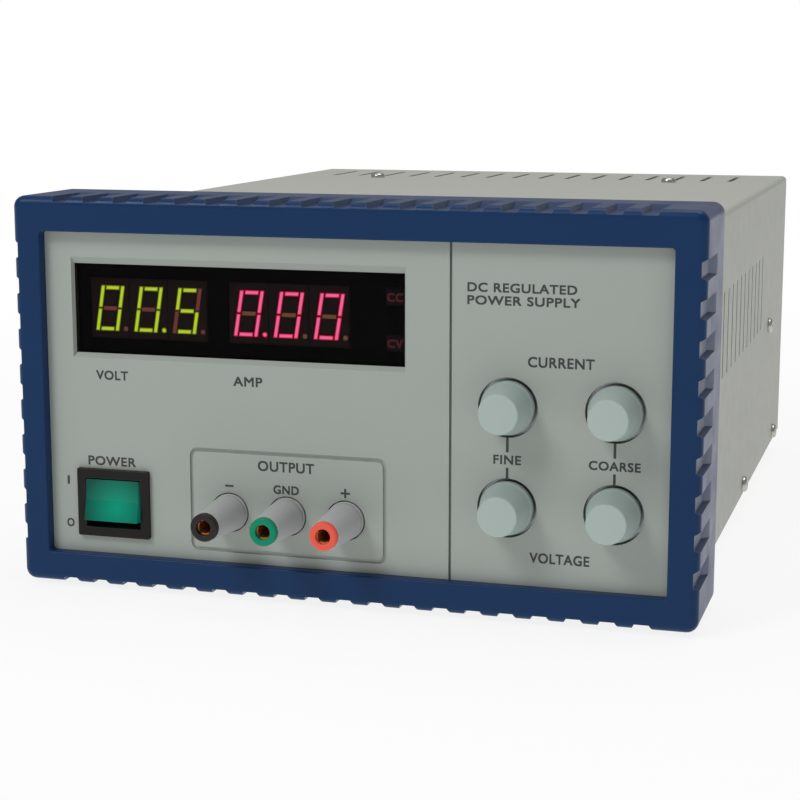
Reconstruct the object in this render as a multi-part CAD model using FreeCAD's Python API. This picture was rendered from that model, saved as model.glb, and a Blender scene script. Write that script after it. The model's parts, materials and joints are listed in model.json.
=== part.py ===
import FreeCAD, Part

import math
import os

from FreeCAD import Vector

# Bench power supply: a steel case behind a moulded bumper, with two LED meters, four knobs,
# a rocker switch and three output posts in front, and a mains inlet and fan at the rear.
#
# Lengths are millimetres. Shapes are drawn in the face frame: x to the right as seen from the
# front, y rearwards from the bumper's front face, z up from a line 1.2 mm above the bumper's
# underside. export() shifts them so that the origin lies under the middle of the whole
# object, on the bench.

# ---- Overall -------------------------------------------------------------------------------
WIDTH = 217.6
BUMPER_TOP = 122.5
BUMPER_BOTTOM = -1.2
CASE_REAR = 293.0
BENCH = -2.7                  # the level that the feet stand on
POST_TIP = -17.9              # foremost surface, the output posts' ends
REARMOST = 295.8              # rearmost surface, the fuse drawer's face
ORIGIN_Y = (POST_TIP + REARMOST) / 2
BEYOND = 300.0                # reach of a cutter that has to pass the whole object

# ---- Bumper --------------------------------------------------------------------------------
BUMPER_DEPTH = 37.0
BUMPER_CORNER = 3.6
BUMPER_FRONT_ROUND = 2.7
BUMPER_REAR_ROUND = 1.0
LIP_DEPTH = 3.8               # front lip, back to the moulded panel
LIP_SIDE = 9.3
LIP_ROUND = 0.6
MOUTH_Z = (8.7, 111.6)
MOUTH_CORNER = 1.2
GRIP_WIDTH = 6.2
GRIP_FLOOR = 4.4
GRIP_DEPTH = 1.7
GRIP_LENGTH = 20.0
GRIP_RAMP = 4.7               # the groove's end slopes this far each way of its length
TOP_GRIPS = 19
TOP_GRIP_PITCH = 10.25
SIDE_GRIPS = 9
SIDE_GRIP_PITCH = 11.33
SIDE_GRIP_MIDDLE = 60.25

# ---- Case ----------------------------------------------------------------------------------
CASE_SIDE = WIDTH / 2 - 5.2
CASE_TOP = 116.1
CASE_BOTTOM = 6.2
CASE_FRONT = 7.0
SHEET = 1.0                   # cover thickness
PLATE = 1.2                   # chassis, sub-panel and rear panel thickness
FOLD = 2.0                    # cover's outside bend radius
FIT = 0.2                     # gap between nested sheet and moulded pieces
CHASSIS_SIDE = CASE_SIDE - SHEET - 0.1
CHASSIS_FLANGE_TOP = 16.0
CHASSIS_FLOOR = CASE_BOTTOM + PLATE
REAR_PANEL = (290.0, 290.0 + PLATE)
REAR_FLANGE_Z = (20.0, 105.0)
REAR_FLANGE_DEPTH = 9.0
SIDE_SLOTS = 12
SIDE_SLOT_PITCH = 12.0
SIDE_SLOT_FIRST = 73.0
SIDE_SLOT_Z = (61.0, 90.0)
SIDE_SLOT_WIDTH = 2.2
TOP_SLOTS = 16
TOP_SLOT_PITCH = 11.3
TOP_SLOT_Y = (246.0, 278.0)
TOP_SLOT_WIDTH = 2.0
FLOOR_SLOT_ROWS = (70.0, 130.0, 190.0)
FLOOR_SLOT_LENGTH = 34.0
FLOOR_SLOT_WIDTH = 2.5
COVER_SCREWS_SIDE = [(50.0, 10.0), (158.0, 10.0), (266.0, 10.0), (235.0, 59.2)]   # y, z
COVER_SCREWS_TOP = [(-61.7, 235.0), (61.7, 235.0)]                               # x, y
COVER_SCREW_HOLE = 1.7
TAPPED_HOLE = 1.6
FEET = [(x, y) for x in (-84.0, 84.0) for y in (58.0, 268.0)]
FOOT_RADIUS = (7.0, 8.0)      # at the bench and at the chassis
FOOT_RECESS = 2.6
FOOT_SCREW = 8.5

# ---- Moulded front panel -------------------------------------------------------------------
PANEL_FRONT = LIP_DEPTH
PANEL_BACK = 6.8
PANEL_SIDE = 103.4
PANEL_TOP = CASE_TOP - 0.5
PANEL_BOTTOM = CASE_BOTTOM + FIT
PANEL_SCREWS = [(x, z) for x in (-97.0, 97.0) for z in (14.0, 105.0)]
PANEL_SCREW_SHANK = 1.3
WINDOW = (-90.7, 18.9, 71.7, 103.6)
WINDOW_BEVELS = (0.6, 0.6, 1.5, 2.15)     # left, right, bottom, top
LENS_SEAT = 5.3
LENS_OVERLAP = 1.3
SEAM_X = 32.9
SEAM_WIDTH = 0.8
SEAM_DEPTH = 1.6
OUTPUT_FRAME = (-51.0, 12.3, 12.5, 44.3)
FRAME_LINE = 1.2
FRAME_DEPTH = 0.8
FRAME_CORNER = 2.2
SUB_PANEL = (6.9, 8.1)
SUB_PANEL_SIDE = 100.7
SUB_PANEL_FLANGE = 10.0

# ---- Knobs and potentiometers --------------------------------------------------------------
KNOBS = {
    "current_fine": (50.5, 62.7),
    "current_coarse": (82.8, 62.7),
    "voltage_fine": (50.5, 32.2),
    "voltage_coarse": (82.8, 32.2),
}
KNOB_HOLE = 9.1
KNOB_BASE = 8.1
KNOB_NECK = 7.7
KNOB_END = 6.0
KNOB_FRONT = -8.9
KNOB_BACK = 4.8
SKIRT = (1.4, 2.4)            # where the cone steps out to the skirt
SKIRT_HOLLOW = 6.9
SHAFT = 3.0
SHAFT_END = 16.0
RUNNING_GAP = 0.05
BUSHING = 3.6
POTENTIOMETER = (8.2, 19.0)   # body radius and back
NUT_ACROSS = 10.0

# ---- Output posts --------------------------------------------------------------------------
POSTS = {"negative": -38.45, "ground": -19.4, "positive": -0.35}
POST_Z = 24.8
POST_HOLE = 6.3
STEM = 3.0
SOCKET = 2.0                  # 4 mm plug socket
SOCKET_DEPTH = 18.0
STEM_FRONT = -16.4
STEM_BACK = 24.0
CAP_FRONT = -15.9
CAP_BACK = 2.4
CAP_RADIUS = (5.75, 4.55)     # at the panel and at the front
CAP_BORE = STEM + 0.1

# ---- Meters --------------------------------------------------------------------------------
DIGIT_WIDTH = 13.05
DIGIT_PITCH = 13.15
DIGIT_HEIGHT = 19.0
DIGIT_FACE = 9.4
BOARD_FRONT = 17.4
BOARD_THICKNESS = 1.6
DIGIT_Z = 87.0
VOLT_CENTRE = -67.0
AMP_CENTRE = -20.15
LAMP_X = 14.0
LAMP_Z = (93.6, 79.5)
LAMP_HALF = (3.0, 2.5)
METER_BOARD = (-92.4, 22.1, 65.0, 111.0)

# ---- Rocker switch -------------------------------------------------------------------------
SWITCH_X = -77.65
SWITCH_Z = 25.25
BEZEL = (24.6, 21.9)
BEZEL_FRONT = 2.2
BEZEL_CORNER = 0.5
SWITCH_HALF = (11.05, 9.55)   # body behind the bezel
SWITCH_BACK = 22.0
ROCKER_WELL = (9.35, 7.9)
ROCKER_WELL_BACK = 16.0
ROCKER_PIVOT_Y = 8.1
ROCKER_PIVOT = 1.25
ROCKER_TILT = 9.0             # degrees each way from level
ROCKER_WIDTH = 18.2
ROCKER_HALF = 6.6
ROCKER_FACE = -6.6            # middle of the face, forward of the pivot
ROCKER_ENDS = -7.2            # ends of the face, forward of the pivot

# ---- Fan and heatsink ----------------------------------------------------------------------
FAN_X = 22.0
FAN_Z = 62.0
FAN_SIZE = 60.0
FAN_FRONT = 274.9
FAN_AIRWAY = 28.6
FAN_MIDDLE = 280.9
FAN_BLADES = 7
FAN_BLADE_PITCH = 36.0
FAN_BOLT = 25.0
FAN_BOLT_HOLE = 2.1
FAN_AXLE = 1.5
HEATSINK = (-28.0, 72.0, 20.0, 112.5)
HEATSINK_PLATE = (240.0, 245.0)
HEATSINK_FINS = 13
HEATSINK_BACK = 270.0
BRACKET_Y = (229.0, 241.0)
BRACKET_THICKNESS = 2.0

# ---- Transformer and main board ------------------------------------------------------------
CORE_X = -50.0
CORE_Y = (105.0, 145.0)
LEG = 12.5                    # width of the laminations' outer legs
CORE_Z = (CHASSIS_FLOOR + 0.1, CHASSIS_FLOOR + 0.1 + 5 * LEG)
BOARD = (6.0, 96.0, 60.0, 222.0)
BOARD_Z = 12.0
CAPACITOR = (12.5, 46.0)      # radius, and top above the board's underside

# ---- Mains inlet and voltage selector ------------------------------------------------------
INLET_X = -70.0
INLET_BODY_Z = (18.0, 49.0)
INLET_HALF = 14.0
INLET_FACE = 294.2
INLET_SCREW_X = 20.0
INLET_SCREW_Z = 33.5
PLUG_WELL = (24.4, 28.5, 44.9, 277.0)     # width, bottom, top, depth limit
DRAWER_Z = (19.6, 26.4)
DRAWER_FRONT = 271.5
FUSE = 2.6
FUSE_Z = DRAWER_Z[0] + 3.6
SELECTOR = (-70.0, 70.0)
SELECTOR_HALF = (12.0, 6.0)
SELECTOR_WELL = (5.5, 3.2)
SELECTOR_FRONT = REAR_PANEL[1] + 1.2
SLIDER_HALF = 3.4
SLIDER_TRAVEL = 4.0


# ---- Shape helpers -------------------------------------------------------------------------
def block(x0, x1, y0, y1, z0, z1):
    return Part.makeBox(x1 - x0, y1 - y0, z1 - z0, Vector(x0, y0, z0))


def rod(radius, x, z, y0, y1):
    """Round bar along y."""
    return Part.makeCylinder(radius, y1 - y0, Vector(x, y0, z), Vector(0, 1, 0))


def post(radius, x, y, z0, z1):
    """Round bar along z."""
    return Part.makeCylinder(radius, z1 - z0, Vector(x, y, z0))


def bar(radius, y, z, x0, x1):
    """Round bar along x."""
    return Part.makeCylinder(radius, x1 - x0, Vector(x0, y, z), Vector(1, 0, 0))


def turned(x, z, profile):
    """Solid turned about a line along y through (x, z); profile lists (radius, y)."""
    points = [Vector(x + radius, y, z) for radius, y in profile]
    face = Part.Face(Part.makePolygon(points + points[:1]))
    return face.revolve(Vector(x, 0, z), Vector(0, 1, 0), 360)


def prism(x0, x1, z0, z1, y0, y1, corner):
    """Bar along y whose section is a rectangle with rounded corners."""
    solid = block(x0, x1, y0, y1, z0, z1)
    long_edges = [e for e in solid.Edges if e.BoundBox.YLength > (y1 - y0) / 2]
    return solid.makeFillet(corner, long_edges)


def edges_at(shape, y):
    """The edges that lie in the plane at this y."""
    return [e for e in shape.Edges
            if abs(e.BoundBox.YMin - y) < 0.01 and abs(e.BoundBox.YMax - y) < 0.01]


def rectangle(centre, across, along, half_width, start, end):
    """Closed wire: half_width each side of the centre, from start to end along."""
    corners = [centre + across * half_width * side + along * reach
               for side, reach in ((-1, start), (1, start), (1, end), (-1, end))]
    return Part.makePolygon(corners + corners[:1])


def spaced(count, pitch, middle=0.0):
    """Centres of a row of equal things about its middle."""
    first = middle - (count - 1) * pitch / 2
    return [first + i * pitch for i in range(count)]


def hexagon(across_flats, x, z, y0, y1):
    """Hexagonal bar along y."""
    radius = across_flats / math.sqrt(3)
    corners = [Vector(x + radius * math.cos(math.radians(60 * i)), y0,
                      z + radius * math.sin(math.radians(60 * i))) for i in range(7)]
    return Part.Face(Part.makePolygon(corners)).extrude(Vector(0, y1 - y0, 0))


def aimed(shape, direction):
    """A shape drawn along +z, turned to point along direction."""
    turned_shape = shape.copy()
    turned_shape.Placement = FreeCAD.Placement(
        Vector(0, 0, 0), FreeCAD.Rotation(Vector(0, 0, 1), Vector(*direction)))
    return turned_shape


def pan_screw(place, direction, head=2.9, shank=1.5, length=7.0):
    """Cross-head screw: the head stands out along direction from the surface at place."""
    head_height = head * 0.62
    dome = post(head, 0, 0, 0, head_height)
    dome = dome.makeFillet(head_height * 0.7, [dome.Edges[0]])
    screw = dome.fuse(post(shank, 0, 0, -length, 0.1)).removeSplitter()
    for half_x, half_y in ((head * 0.6, 0.4), (0.4, head * 0.6)):
        screw = screw.cut(block(-half_x, half_x, -half_y, half_y, head_height * 0.4, head_height + 1))
    screw = aimed(screw, direction)
    screw.translate(Vector(*place))
    return screw


# ---- Bumper --------------------------------------------------------------------------------
def grip_groove(start, across, inward):
    """Cutter for one grip groove that runs back from the front face along y."""
    along = Vector(0, 1, 0)
    spread = (GRIP_WIDTH - GRIP_FLOOR) / 2 / GRIP_DEPTH
    above = rectangle(start - inward, across, along, GRIP_WIDTH / 2 + spread, -1, GRIP_LENGTH + GRIP_RAMP)
    floor = rectangle(start + inward * GRIP_DEPTH, across, along, GRIP_FLOOR / 2,
                      -1, GRIP_LENGTH - GRIP_RAMP)
    return Part.makeLoft([above, floor], True, True)


def grip_grooves():
    cutters = []
    for x in spaced(TOP_GRIPS, TOP_GRIP_PITCH):
        cutters.append(grip_groove(Vector(x, 0, BUMPER_TOP), Vector(1, 0, 0), Vector(0, 0, -1)))
        cutters.append(grip_groove(Vector(x, 0, BUMPER_BOTTOM), Vector(1, 0, 0), Vector(0, 0, 1)))
    for z in spaced(SIDE_GRIPS, SIDE_GRIP_PITCH, SIDE_GRIP_MIDDLE):
        cutters.append(grip_groove(Vector(WIDTH / 2, 0, z), Vector(0, 0, 1), Vector(-1, 0, 0)))
        cutters.append(grip_groove(Vector(-WIDTH / 2, 0, z), Vector(0, 0, 1), Vector(1, 0, 0)))
    return cutters


def whole_bumper():
    half = WIDTH / 2
    body = prism(-half, half, BUMPER_BOTTOM, BUMPER_TOP, 0, BUMPER_DEPTH, BUMPER_CORNER)
    body = body.makeFillet(BUMPER_FRONT_ROUND, edges_at(body, 0))
    body = body.makeFillet(BUMPER_REAR_ROUND, edges_at(body, BUMPER_DEPTH))
    mouth_side = half - LIP_SIDE
    mouth = prism(-mouth_side, mouth_side, *MOUTH_Z, -1, LIP_DEPTH + 1, MOUTH_CORNER)
    side, bottom = CASE_SIDE + FIT, CASE_BOTTOM - FIT
    sleeve = prism(-side, side, bottom, CASE_TOP + FIT, LIP_DEPTH, BUMPER_DEPTH + 1, FOLD)
    sleeve_corners = block(-side, side, LIP_DEPTH, BUMPER_DEPTH + 1, bottom, bottom + 2 * FOLD)
    body = body.cut([mouth, sleeve, sleeve_corners])
    mouth_edges = [e for e in edges_at(body, 0)
                   if max(abs(e.BoundBox.XMin), abs(e.BoundBox.XMax)) < mouth_side + 0.1]
    body = body.makeFillet(LIP_ROUND, mouth_edges)
    return body.cut(grip_grooves())


def front_bumper():
    """The bumper as two full-width rails and two uprights that meet them face to face."""
    whole = whole_bumper()
    bottom, top = MOUTH_Z
    return [
        whole.common(block(-WIDTH, WIDTH, -1, BUMPER_DEPTH + 1, BUMPER_BOTTOM - 1, bottom)),
        whole.common(block(-WIDTH, WIDTH, -1, BUMPER_DEPTH + 1, top, BUMPER_TOP + 1)),
        whole.common(block(-WIDTH, 0, -1, BUMPER_DEPTH + 1, bottom, top)),
        whole.common(block(0, WIDTH, -1, BUMPER_DEPTH + 1, bottom, top)),
    ]


# ---- Front panel ---------------------------------------------------------------------------
def window_cutters():
    """Sloping border of the meter window, and the lens's seat behind it."""
    x0, x1, z0, z1 = WINDOW
    left, right, bottom, top = WINDOW_BEVELS
    wires = []
    for y in (PANEL_FRONT - 1, LENS_SEAT + 0.1):
        share = (y - PANEL_FRONT) / (LENS_SEAT - PANEL_FRONT)
        low_x, high_x = x0 + left * share, x1 - right * share
        low_z, high_z = z0 + bottom * share, z1 - top * share
        outline = [(low_x, low_z), (high_x, low_z), (high_x, high_z), (low_x, high_z), (low_x, low_z)]
        wires.append(Part.makePolygon([Vector(x, y, z) for x, z in outline]))
    seat = LENS_OVERLAP + FIT
    return [Part.makeLoft(wires, True, True),
            block(x0 - seat, x1 + seat, LENS_SEAT, PANEL_BACK + 1, z0 - seat, z1 + seat)]


def frame_line():
    """Groove that frames the output posts."""
    x0, x1, z0, z1 = OUTPUT_FRAME
    half = FRAME_LINE / 2
    back = PANEL_FRONT + FRAME_DEPTH
    outer = prism(x0 - half, x1 + half, z0 - half, z1 + half, PANEL_FRONT - 1, back, FRAME_CORNER + half)
    inner = prism(x0 + half, x1 - half, z0 + half, z1 - half, PANEL_FRONT - 2, back + 1,
                  FRAME_CORNER - half)
    return outer.cut(inner)


def front_panel():
    panel = prism(-PANEL_SIDE, PANEL_SIDE, PANEL_BOTTOM, PANEL_TOP, PANEL_FRONT, PANEL_BACK, FOLD)
    seam = block(SEAM_X - SEAM_WIDTH / 2, SEAM_X + SEAM_WIDTH / 2,
                 PANEL_FRONT - 1, PANEL_FRONT + SEAM_DEPTH, 0, BEYOND)
    cutters = window_cutters() + [frame_line(), seam, switch_cutout(PANEL_FRONT - 1, PANEL_BACK + 1)]
    for x, z in KNOBS.values():
        cutters.append(rod(KNOB_HOLE, x, z, PANEL_FRONT - 1, PANEL_BACK + 1))
    for x in POSTS.values():
        cutters.append(rod(POST_HOLE, x, POST_Z, PANEL_FRONT - 1, PANEL_BACK + 1))
    for x, z in PANEL_SCREWS:
        cutters.append(rod(PANEL_SCREW_SHANK + RUNNING_GAP, x, z, PANEL_BACK - 2.2, PANEL_BACK + 1))
    return panel.cut(cutters)


def display_window():
    x0, x1, z0, z1 = WINDOW
    grow = LENS_OVERLAP
    return block(x0 - grow, x1 + grow, LENS_SEAT, PANEL_BACK, z0 - grow, z1 + grow)


def sub_panel():
    """Steel plate behind the moulded panel, with a flange folded back at top and bottom."""
    y0, y1 = SUB_PANEL
    side = SUB_PANEL_SIDE
    bottom, top = CHASSIS_FLOOR + FIT, CASE_TOP - SHEET - FIT
    plate = block(-side, side, y0, y1, bottom, top)
    plate = plate.fuse(block(-side, side, y0, y1 + SUB_PANEL_FLANGE, bottom, bottom + PLATE))
    plate = plate.fuse(block(-side, side, y0, y1 + SUB_PANEL_FLANGE, top - PLATE, top)).removeSplitter()
    x0, x1, z0, z1 = WINDOW
    cutters = [block(x0 + 0.4, x1 - 0.4, y0 - 1, y1 + 1, z0 + 0.4, z1 - 0.4),
               switch_cutout(y0 - 1, y1 + 1)]
    for x, z in KNOBS.values():
        cutters.append(rod(BUSHING + 0.1, x, z, y0 - 1, y1 + 1))
    for x in POSTS.values():
        cutters.append(rod(4.0, x, POST_Z, y0 - 1, y1 + 1))
    for x, z in PANEL_SCREWS:
        cutters.append(rod(1.7, x, z, y0 - 1, y1 + 1))
    return plate.cut(cutters)


# ---- Meters --------------------------------------------------------------------------------
def digits(centre):
    """Three seven-segment modules in a row."""
    half_x, half_z = DIGIT_WIDTH / 2, DIGIT_HEIGHT / 2
    return [block(x - half_x, x + half_x, DIGIT_FACE, BOARD_FRONT, DIGIT_Z - half_z, DIGIT_Z + half_z)
            for x in spaced(3, DIGIT_PITCH, centre)]


def status_lamps():
    half_x, half_z = LAMP_HALF
    return [block(LAMP_X - half_x, LAMP_X + half_x, DIGIT_FACE, BOARD_FRONT, z - half_z, z + half_z)
            for z in LAMP_Z]


def meter_board():
    x0, x1, z0, z1 = METER_BOARD
    return block(x0, x1, BOARD_FRONT, BOARD_FRONT + BOARD_THICKNESS, z0, z1)


def meter_spacers():
    x0, x1, z0, z1 = METER_BOARD
    return [rod(2.5, x, z, SUB_PANEL[1], BOARD_FRONT) for x in (x0 + 4, x1 - 4) for z in (z0 + 3, z1 - 3)]


# ---- Knobs and potentiometers --------------------------------------------------------------
def knob(x, z):
    """Tapered push-on knob with a hollow skirt that hides the potentiometer's nut."""
    neck, step = SKIRT
    body = turned(x, z, [(0, KNOB_BACK), (KNOB_BASE, KNOB_BACK), (KNOB_BASE, step), (KNOB_NECK, neck),
                         (KNOB_END, KNOB_FRONT), (0, KNOB_FRONT)])
    body = body.makeFillet(0.6, edges_at(body, KNOB_FRONT))
    skirt_hollow = rod(SKIRT_HOLLOW, x, z, step - 0.5, KNOB_BACK + 1)
    shaft_bore = rod(SHAFT + RUNNING_GAP, x, z, KNOB_FRONT + 2.2, KNOB_BACK + 1)
    return body.cut([skirt_hollow, shaft_bore])


def knob_shaft(x, z):
    """Potentiometer shaft with a flat along the stretch that the knob grips."""
    shaft = rod(SHAFT, x, z, KNOB_FRONT + 2.4, SHAFT_END)
    flat = block(x - SHAFT - 1, x + SHAFT + 1, KNOB_FRONT + 2, 1.5, z + 1.6, z + SHAFT + 1)
    return shaft.cut(flat)


def potentiometer(x, z):
    """Body behind the sub-panel and threaded bushing through it, bored for the shaft."""
    radius, back = POTENTIOMETER
    body = rod(radius, x, z, SUB_PANEL[1], back).fuse(rod(BUSHING, x, z, 2.7, SUB_PANEL[1] + 0.1))
    return body.cut(rod(SHAFT + RUNNING_GAP, x, z, 0, SHAFT_END + 0.1))


def potentiometer_nut(x, z):
    nut = hexagon(NUT_ACROSS, x, z, SUB_PANEL[0] - 2.0, SUB_PANEL[0])
    return nut.cut(rod(BUSHING + RUNNING_GAP, x, z, 0, 10))


# ---- Output posts --------------------------------------------------------------------------
def post_stem(x):
    """Threaded metal stem, bored from the front for a 4 mm plug."""
    stem = rod(STEM, x, POST_Z, STEM_FRONT, STEM_BACK)
    return stem.cut(rod(SOCKET, x, POST_Z, STEM_FRONT - 1, STEM_FRONT + SOCKET_DEPTH))


def post_cap(x):
    """Turning cap, tapered forwards, with the screw thread shown as a plain bore."""
    wide, narrow = CAP_RADIUS
    body = turned(x, POST_Z, [(0, CAP_BACK), (wide, CAP_BACK), (wide, CAP_BACK - 1),
                              (narrow, CAP_FRONT), (0, CAP_FRONT)])
    return body.cut(rod(CAP_BORE, x, POST_Z, CAP_FRONT - 1, CAP_BACK + 1))


def post_tip(x):
    """Coloured end ring fixed in the cap; the plug passes through it."""
    ring = rod(4.35, x, POST_Z, POST_TIP, CAP_FRONT)
    ring = ring.makeFillet(0.5, edges_at(ring, POST_TIP))
    return ring.cut([rod(SOCKET + 0.3, x, POST_Z, POST_TIP - 1, CAP_FRONT + 1),
                     rod(CAP_BORE, x, POST_Z, STEM_FRONT - 0.1, CAP_FRONT + 1)])


def clamp_washer(x):
    """Washer that follows the cap outwards without turning, and clamps a bare wire."""
    return rod(5.0, x, POST_Z, CAP_BACK + 0.1, 3.1).cut(rod(CAP_BORE, x, POST_Z, 2, 4))


def post_insulators():
    """Collar in the panel's hole and washer behind the sub-panel, for each post."""
    pieces = []
    for x in POSTS.values():
        collar = rod(5.9, x, POST_Z, 3.2, SUB_PANEL[0]).fuse(rod(3.9, x, POST_Z, SUB_PANEL[0] - 0.1, 8.2))
        washer = rod(6.5, x, POST_Z, 8.3, 10.3)
        for piece in (collar, washer):
            pieces.append(piece.cut(rod(STEM + 0.05, x, POST_Z, 0, 12)))
    return pieces


def post_nuts():
    """Two nuts on each stem with a solder lug between them."""
    pieces = []
    for x in POSTS.values():
        lug = rod(5.5, x, POST_Z, 13.4, 14.2).fuse(block(x - 2, x + 2, 13.4, 14.2, POST_Z - 16, POST_Z))
        for piece in (hexagon(10.0, x, POST_Z, 10.4, 13.3), lug, hexagon(10.0, x, POST_Z, 14.3, 17.2)):
            pieces.append(piece.cut(rod(STEM + 0.05, x, POST_Z, 9, 19)))
    return pieces


# ---- Rocker switch -------------------------------------------------------------------------
def switch_cutout(y0, y1):
    half_x, half_z = SWITCH_HALF[0] + 0.15, SWITCH_HALF[1] + 0.15
    return block(SWITCH_X - half_x, SWITCH_X + half_x, y0, y1, SWITCH_Z - half_z, SWITCH_Z + half_z)


def rocker_housing():
    half_x, half_z = BEZEL[0] / 2, BEZEL[1] / 2
    bezel = prism(SWITCH_X - half_x, SWITCH_X + half_x, SWITCH_Z - half_z, SWITCH_Z + half_z,
                  BEZEL_FRONT, PANEL_FRONT, BEZEL_CORNER)
    body_x, body_z = SWITCH_HALF
    body = block(SWITCH_X - body_x, SWITCH_X + body_x, PANEL_FRONT - 0.1, SWITCH_BACK,
                 SWITCH_Z - body_z, SWITCH_Z + body_z)
    well_x, well_z = ROCKER_WELL
    well = block(SWITCH_X - well_x, SWITCH_X + well_x, 0, ROCKER_WELL_BACK,
                 SWITCH_Z - well_z, SWITCH_Z + well_z)
    reach = well_x + 0.65
    pivot_holes = bar(ROCKER_PIVOT + RUNNING_GAP, ROCKER_PIVOT_Y, SWITCH_Z, SWITCH_X - reach, SWITCH_X + reach)
    return bezel.fuse(body).removeSplitter().cut([well, pivot_holes])


def power_rocker():
    """Shallow vee rocker on two pivot stubs, shown switched on with its upper end pressed in."""
    section = [(ROCKER_FACE, 0), (ROCKER_ENDS, ROCKER_HALF), (0, ROCKER_HALF - 0.5), (3.5, 3.5),
               (3.5, -3.5), (0, 0.5 - ROCKER_HALF), (ROCKER_ENDS, -ROCKER_HALF)]
    start = SWITCH_X - ROCKER_WIDTH / 2
    points = [Vector(start, ROCKER_PIVOT_Y + y, SWITCH_Z + z) for y, z in section]
    rocker = Part.Face(Part.makePolygon(points + points[:1])).extrude(Vector(ROCKER_WIDTH, 0, 0))
    reach = ROCKER_WELL[0] + 0.5
    rocker = rocker.fuse(bar(ROCKER_PIVOT, ROCKER_PIVOT_Y, SWITCH_Z, SWITCH_X - reach, SWITCH_X + reach))
    rocker.rotate(Vector(SWITCH_X, ROCKER_PIVOT_Y, SWITCH_Z), Vector(1, 0, 0), -ROCKER_TILT)
    return rocker


def rocker_terminals():
    """Four flat tabs behind the switch."""
    return [block(SWITCH_X + x - 2.4, SWITCH_X + x + 2.4, SWITCH_BACK, SWITCH_BACK + 9,
                  SWITCH_Z + z - 0.4, SWITCH_Z + z + 0.4)
            for x in (-5.5, 5.5) for z in (-6.0, 6.0)]


# ---- Case ----------------------------------------------------------------------------------
def cover_screw_holes(radius):
    holes = [bar(radius, y, z, -WIDTH, WIDTH) for y, z in COVER_SCREWS_SIDE]
    return holes + [post(radius, x, y, CASE_TOP - 20, BEYOND) for x, y in COVER_SCREWS_TOP]


def side_slots():
    z0, z1 = SIDE_SLOT_Z
    half = SIDE_SLOT_WIDTH / 2
    slots = []
    for i in range(SIDE_SLOTS):
        y = SIDE_SLOT_FIRST + i * SIDE_SLOT_PITCH
        slots.append(block(-WIDTH, WIDTH, y - half, y + half, z0 + half, z1 - half))
        slots.append(bar(half, y, z0 + half, -WIDTH, WIDTH))
        slots.append(bar(half, y, z1 - half, -WIDTH, WIDTH))
    return slots


def top_slots():
    y0, y1 = TOP_SLOT_Y
    half = TOP_SLOT_WIDTH / 2
    slots = []
    for x in spaced(TOP_SLOTS, TOP_SLOT_PITCH):
        slots.append(block(x - half, x + half, y0 + half, y1 - half, CASE_TOP - 5, BEYOND))
        slots.append(post(half, x, y0 + half, CASE_TOP - 5, BEYOND))
        slots.append(post(half, x, y1 - half, CASE_TOP - 5, BEYOND))
    return slots


def top_cover():
    """One sheet folded over the top and down both sides."""
    y0, y1 = CASE_FRONT, CASE_REAR
    outer = prism(-CASE_SIDE, CASE_SIDE, -20, CASE_TOP, y0, y1, FOLD)
    inner = prism(-CASE_SIDE + SHEET, CASE_SIDE - SHEET, -30, CASE_TOP - SHEET, y0 - 1, y1 + 1, FOLD - SHEET)
    below = block(-WIDTH, WIDTH, y0 - 1, y1 + 1, -40, CASE_BOTTOM)
    return outer.cut([inner, below] + cover_screw_holes(COVER_SCREW_HOLE) + side_slots() + top_slots())


def floor_slots():
    half = FLOOR_SLOT_WIDTH / 2
    return [block(x - half, x + half, y, y + FLOOR_SLOT_LENGTH, BENCH, 2 * CHASSIS_FLOOR)
            for x in spaced(7, 8.0) for y in FLOOR_SLOT_ROWS]


def chassis():
    """Floor pan with side flanges that the cover screws to."""
    y0, y1 = CASE_FRONT + 1.2, REAR_PANEL[0] - 0.1
    pan = block(-CHASSIS_SIDE, CHASSIS_SIDE, y0, y1, CASE_BOTTOM, CHASSIS_FLANGE_TOP)
    inside = CHASSIS_SIDE - PLATE
    pan = pan.cut(block(-inside, inside, y0 - 1, y1 + 1, CHASSIS_FLOOR, BEYOND))
    holes = [bar(TAPPED_HOLE, y, z, -WIDTH, WIDTH) for y, z in COVER_SCREWS_SIDE[:3]]
    holes += [post(TAPPED_HOLE, x, y, BENCH, 2 * CHASSIS_FLOOR) for x, y in FEET]
    return pan.cut(holes + floor_slots())


def rear_panel():
    """Rear plate with a flange folded forwards at each side, and its cut-outs."""
    y0, y1 = REAR_PANEL
    side = CHASSIS_SIDE
    panel = prism(-side, side, CASE_BOTTOM + 0.1, CASE_TOP - SHEET - 0.1, y0, y1, FOLD - SHEET + 0.2)
    inner = side - PLATE - 0.3
    for edge in (-1, 1):
        x0, x1 = sorted((edge * (inner - PLATE), edge * inner))
        panel = panel.fuse(block(x0, x1, y0 - REAR_FLANGE_DEPTH, y1, *REAR_FLANGE_Z))
    panel = panel.removeSplitter()
    x, z = SELECTOR
    half_x, half_z = SELECTOR_HALF[0] + 0.1, SELECTOR_HALF[1] + 0.1
    inlet_half = INLET_HALF + 0.1
    cutters = [rod(FAN_AIRWAY + 0.4, FAN_X, FAN_Z, y0 - 1, y1 + 1),
               block(INLET_X - inlet_half, INLET_X + inlet_half, y0 - 1, y1 + 1,
                     INLET_BODY_Z[0] - 0.1, INLET_BODY_Z[1] + 0.1),
               block(x - half_x, x + half_x, y0 - 1, y1 + 1, z - half_z, z + half_z)]
    cutters += [rod(FAN_BOLT_HOLE, hole_x, hole_z, y0 - 1, y1 + 1) for hole_x, hole_z in fan_corners()]
    cutters += [rod(1.7, INLET_X + side_x, INLET_SCREW_Z, y0 - 1, y1 + 1)
                for side_x in (-INLET_SCREW_X, INLET_SCREW_X)]
    return panel.cut(cutters)


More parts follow.
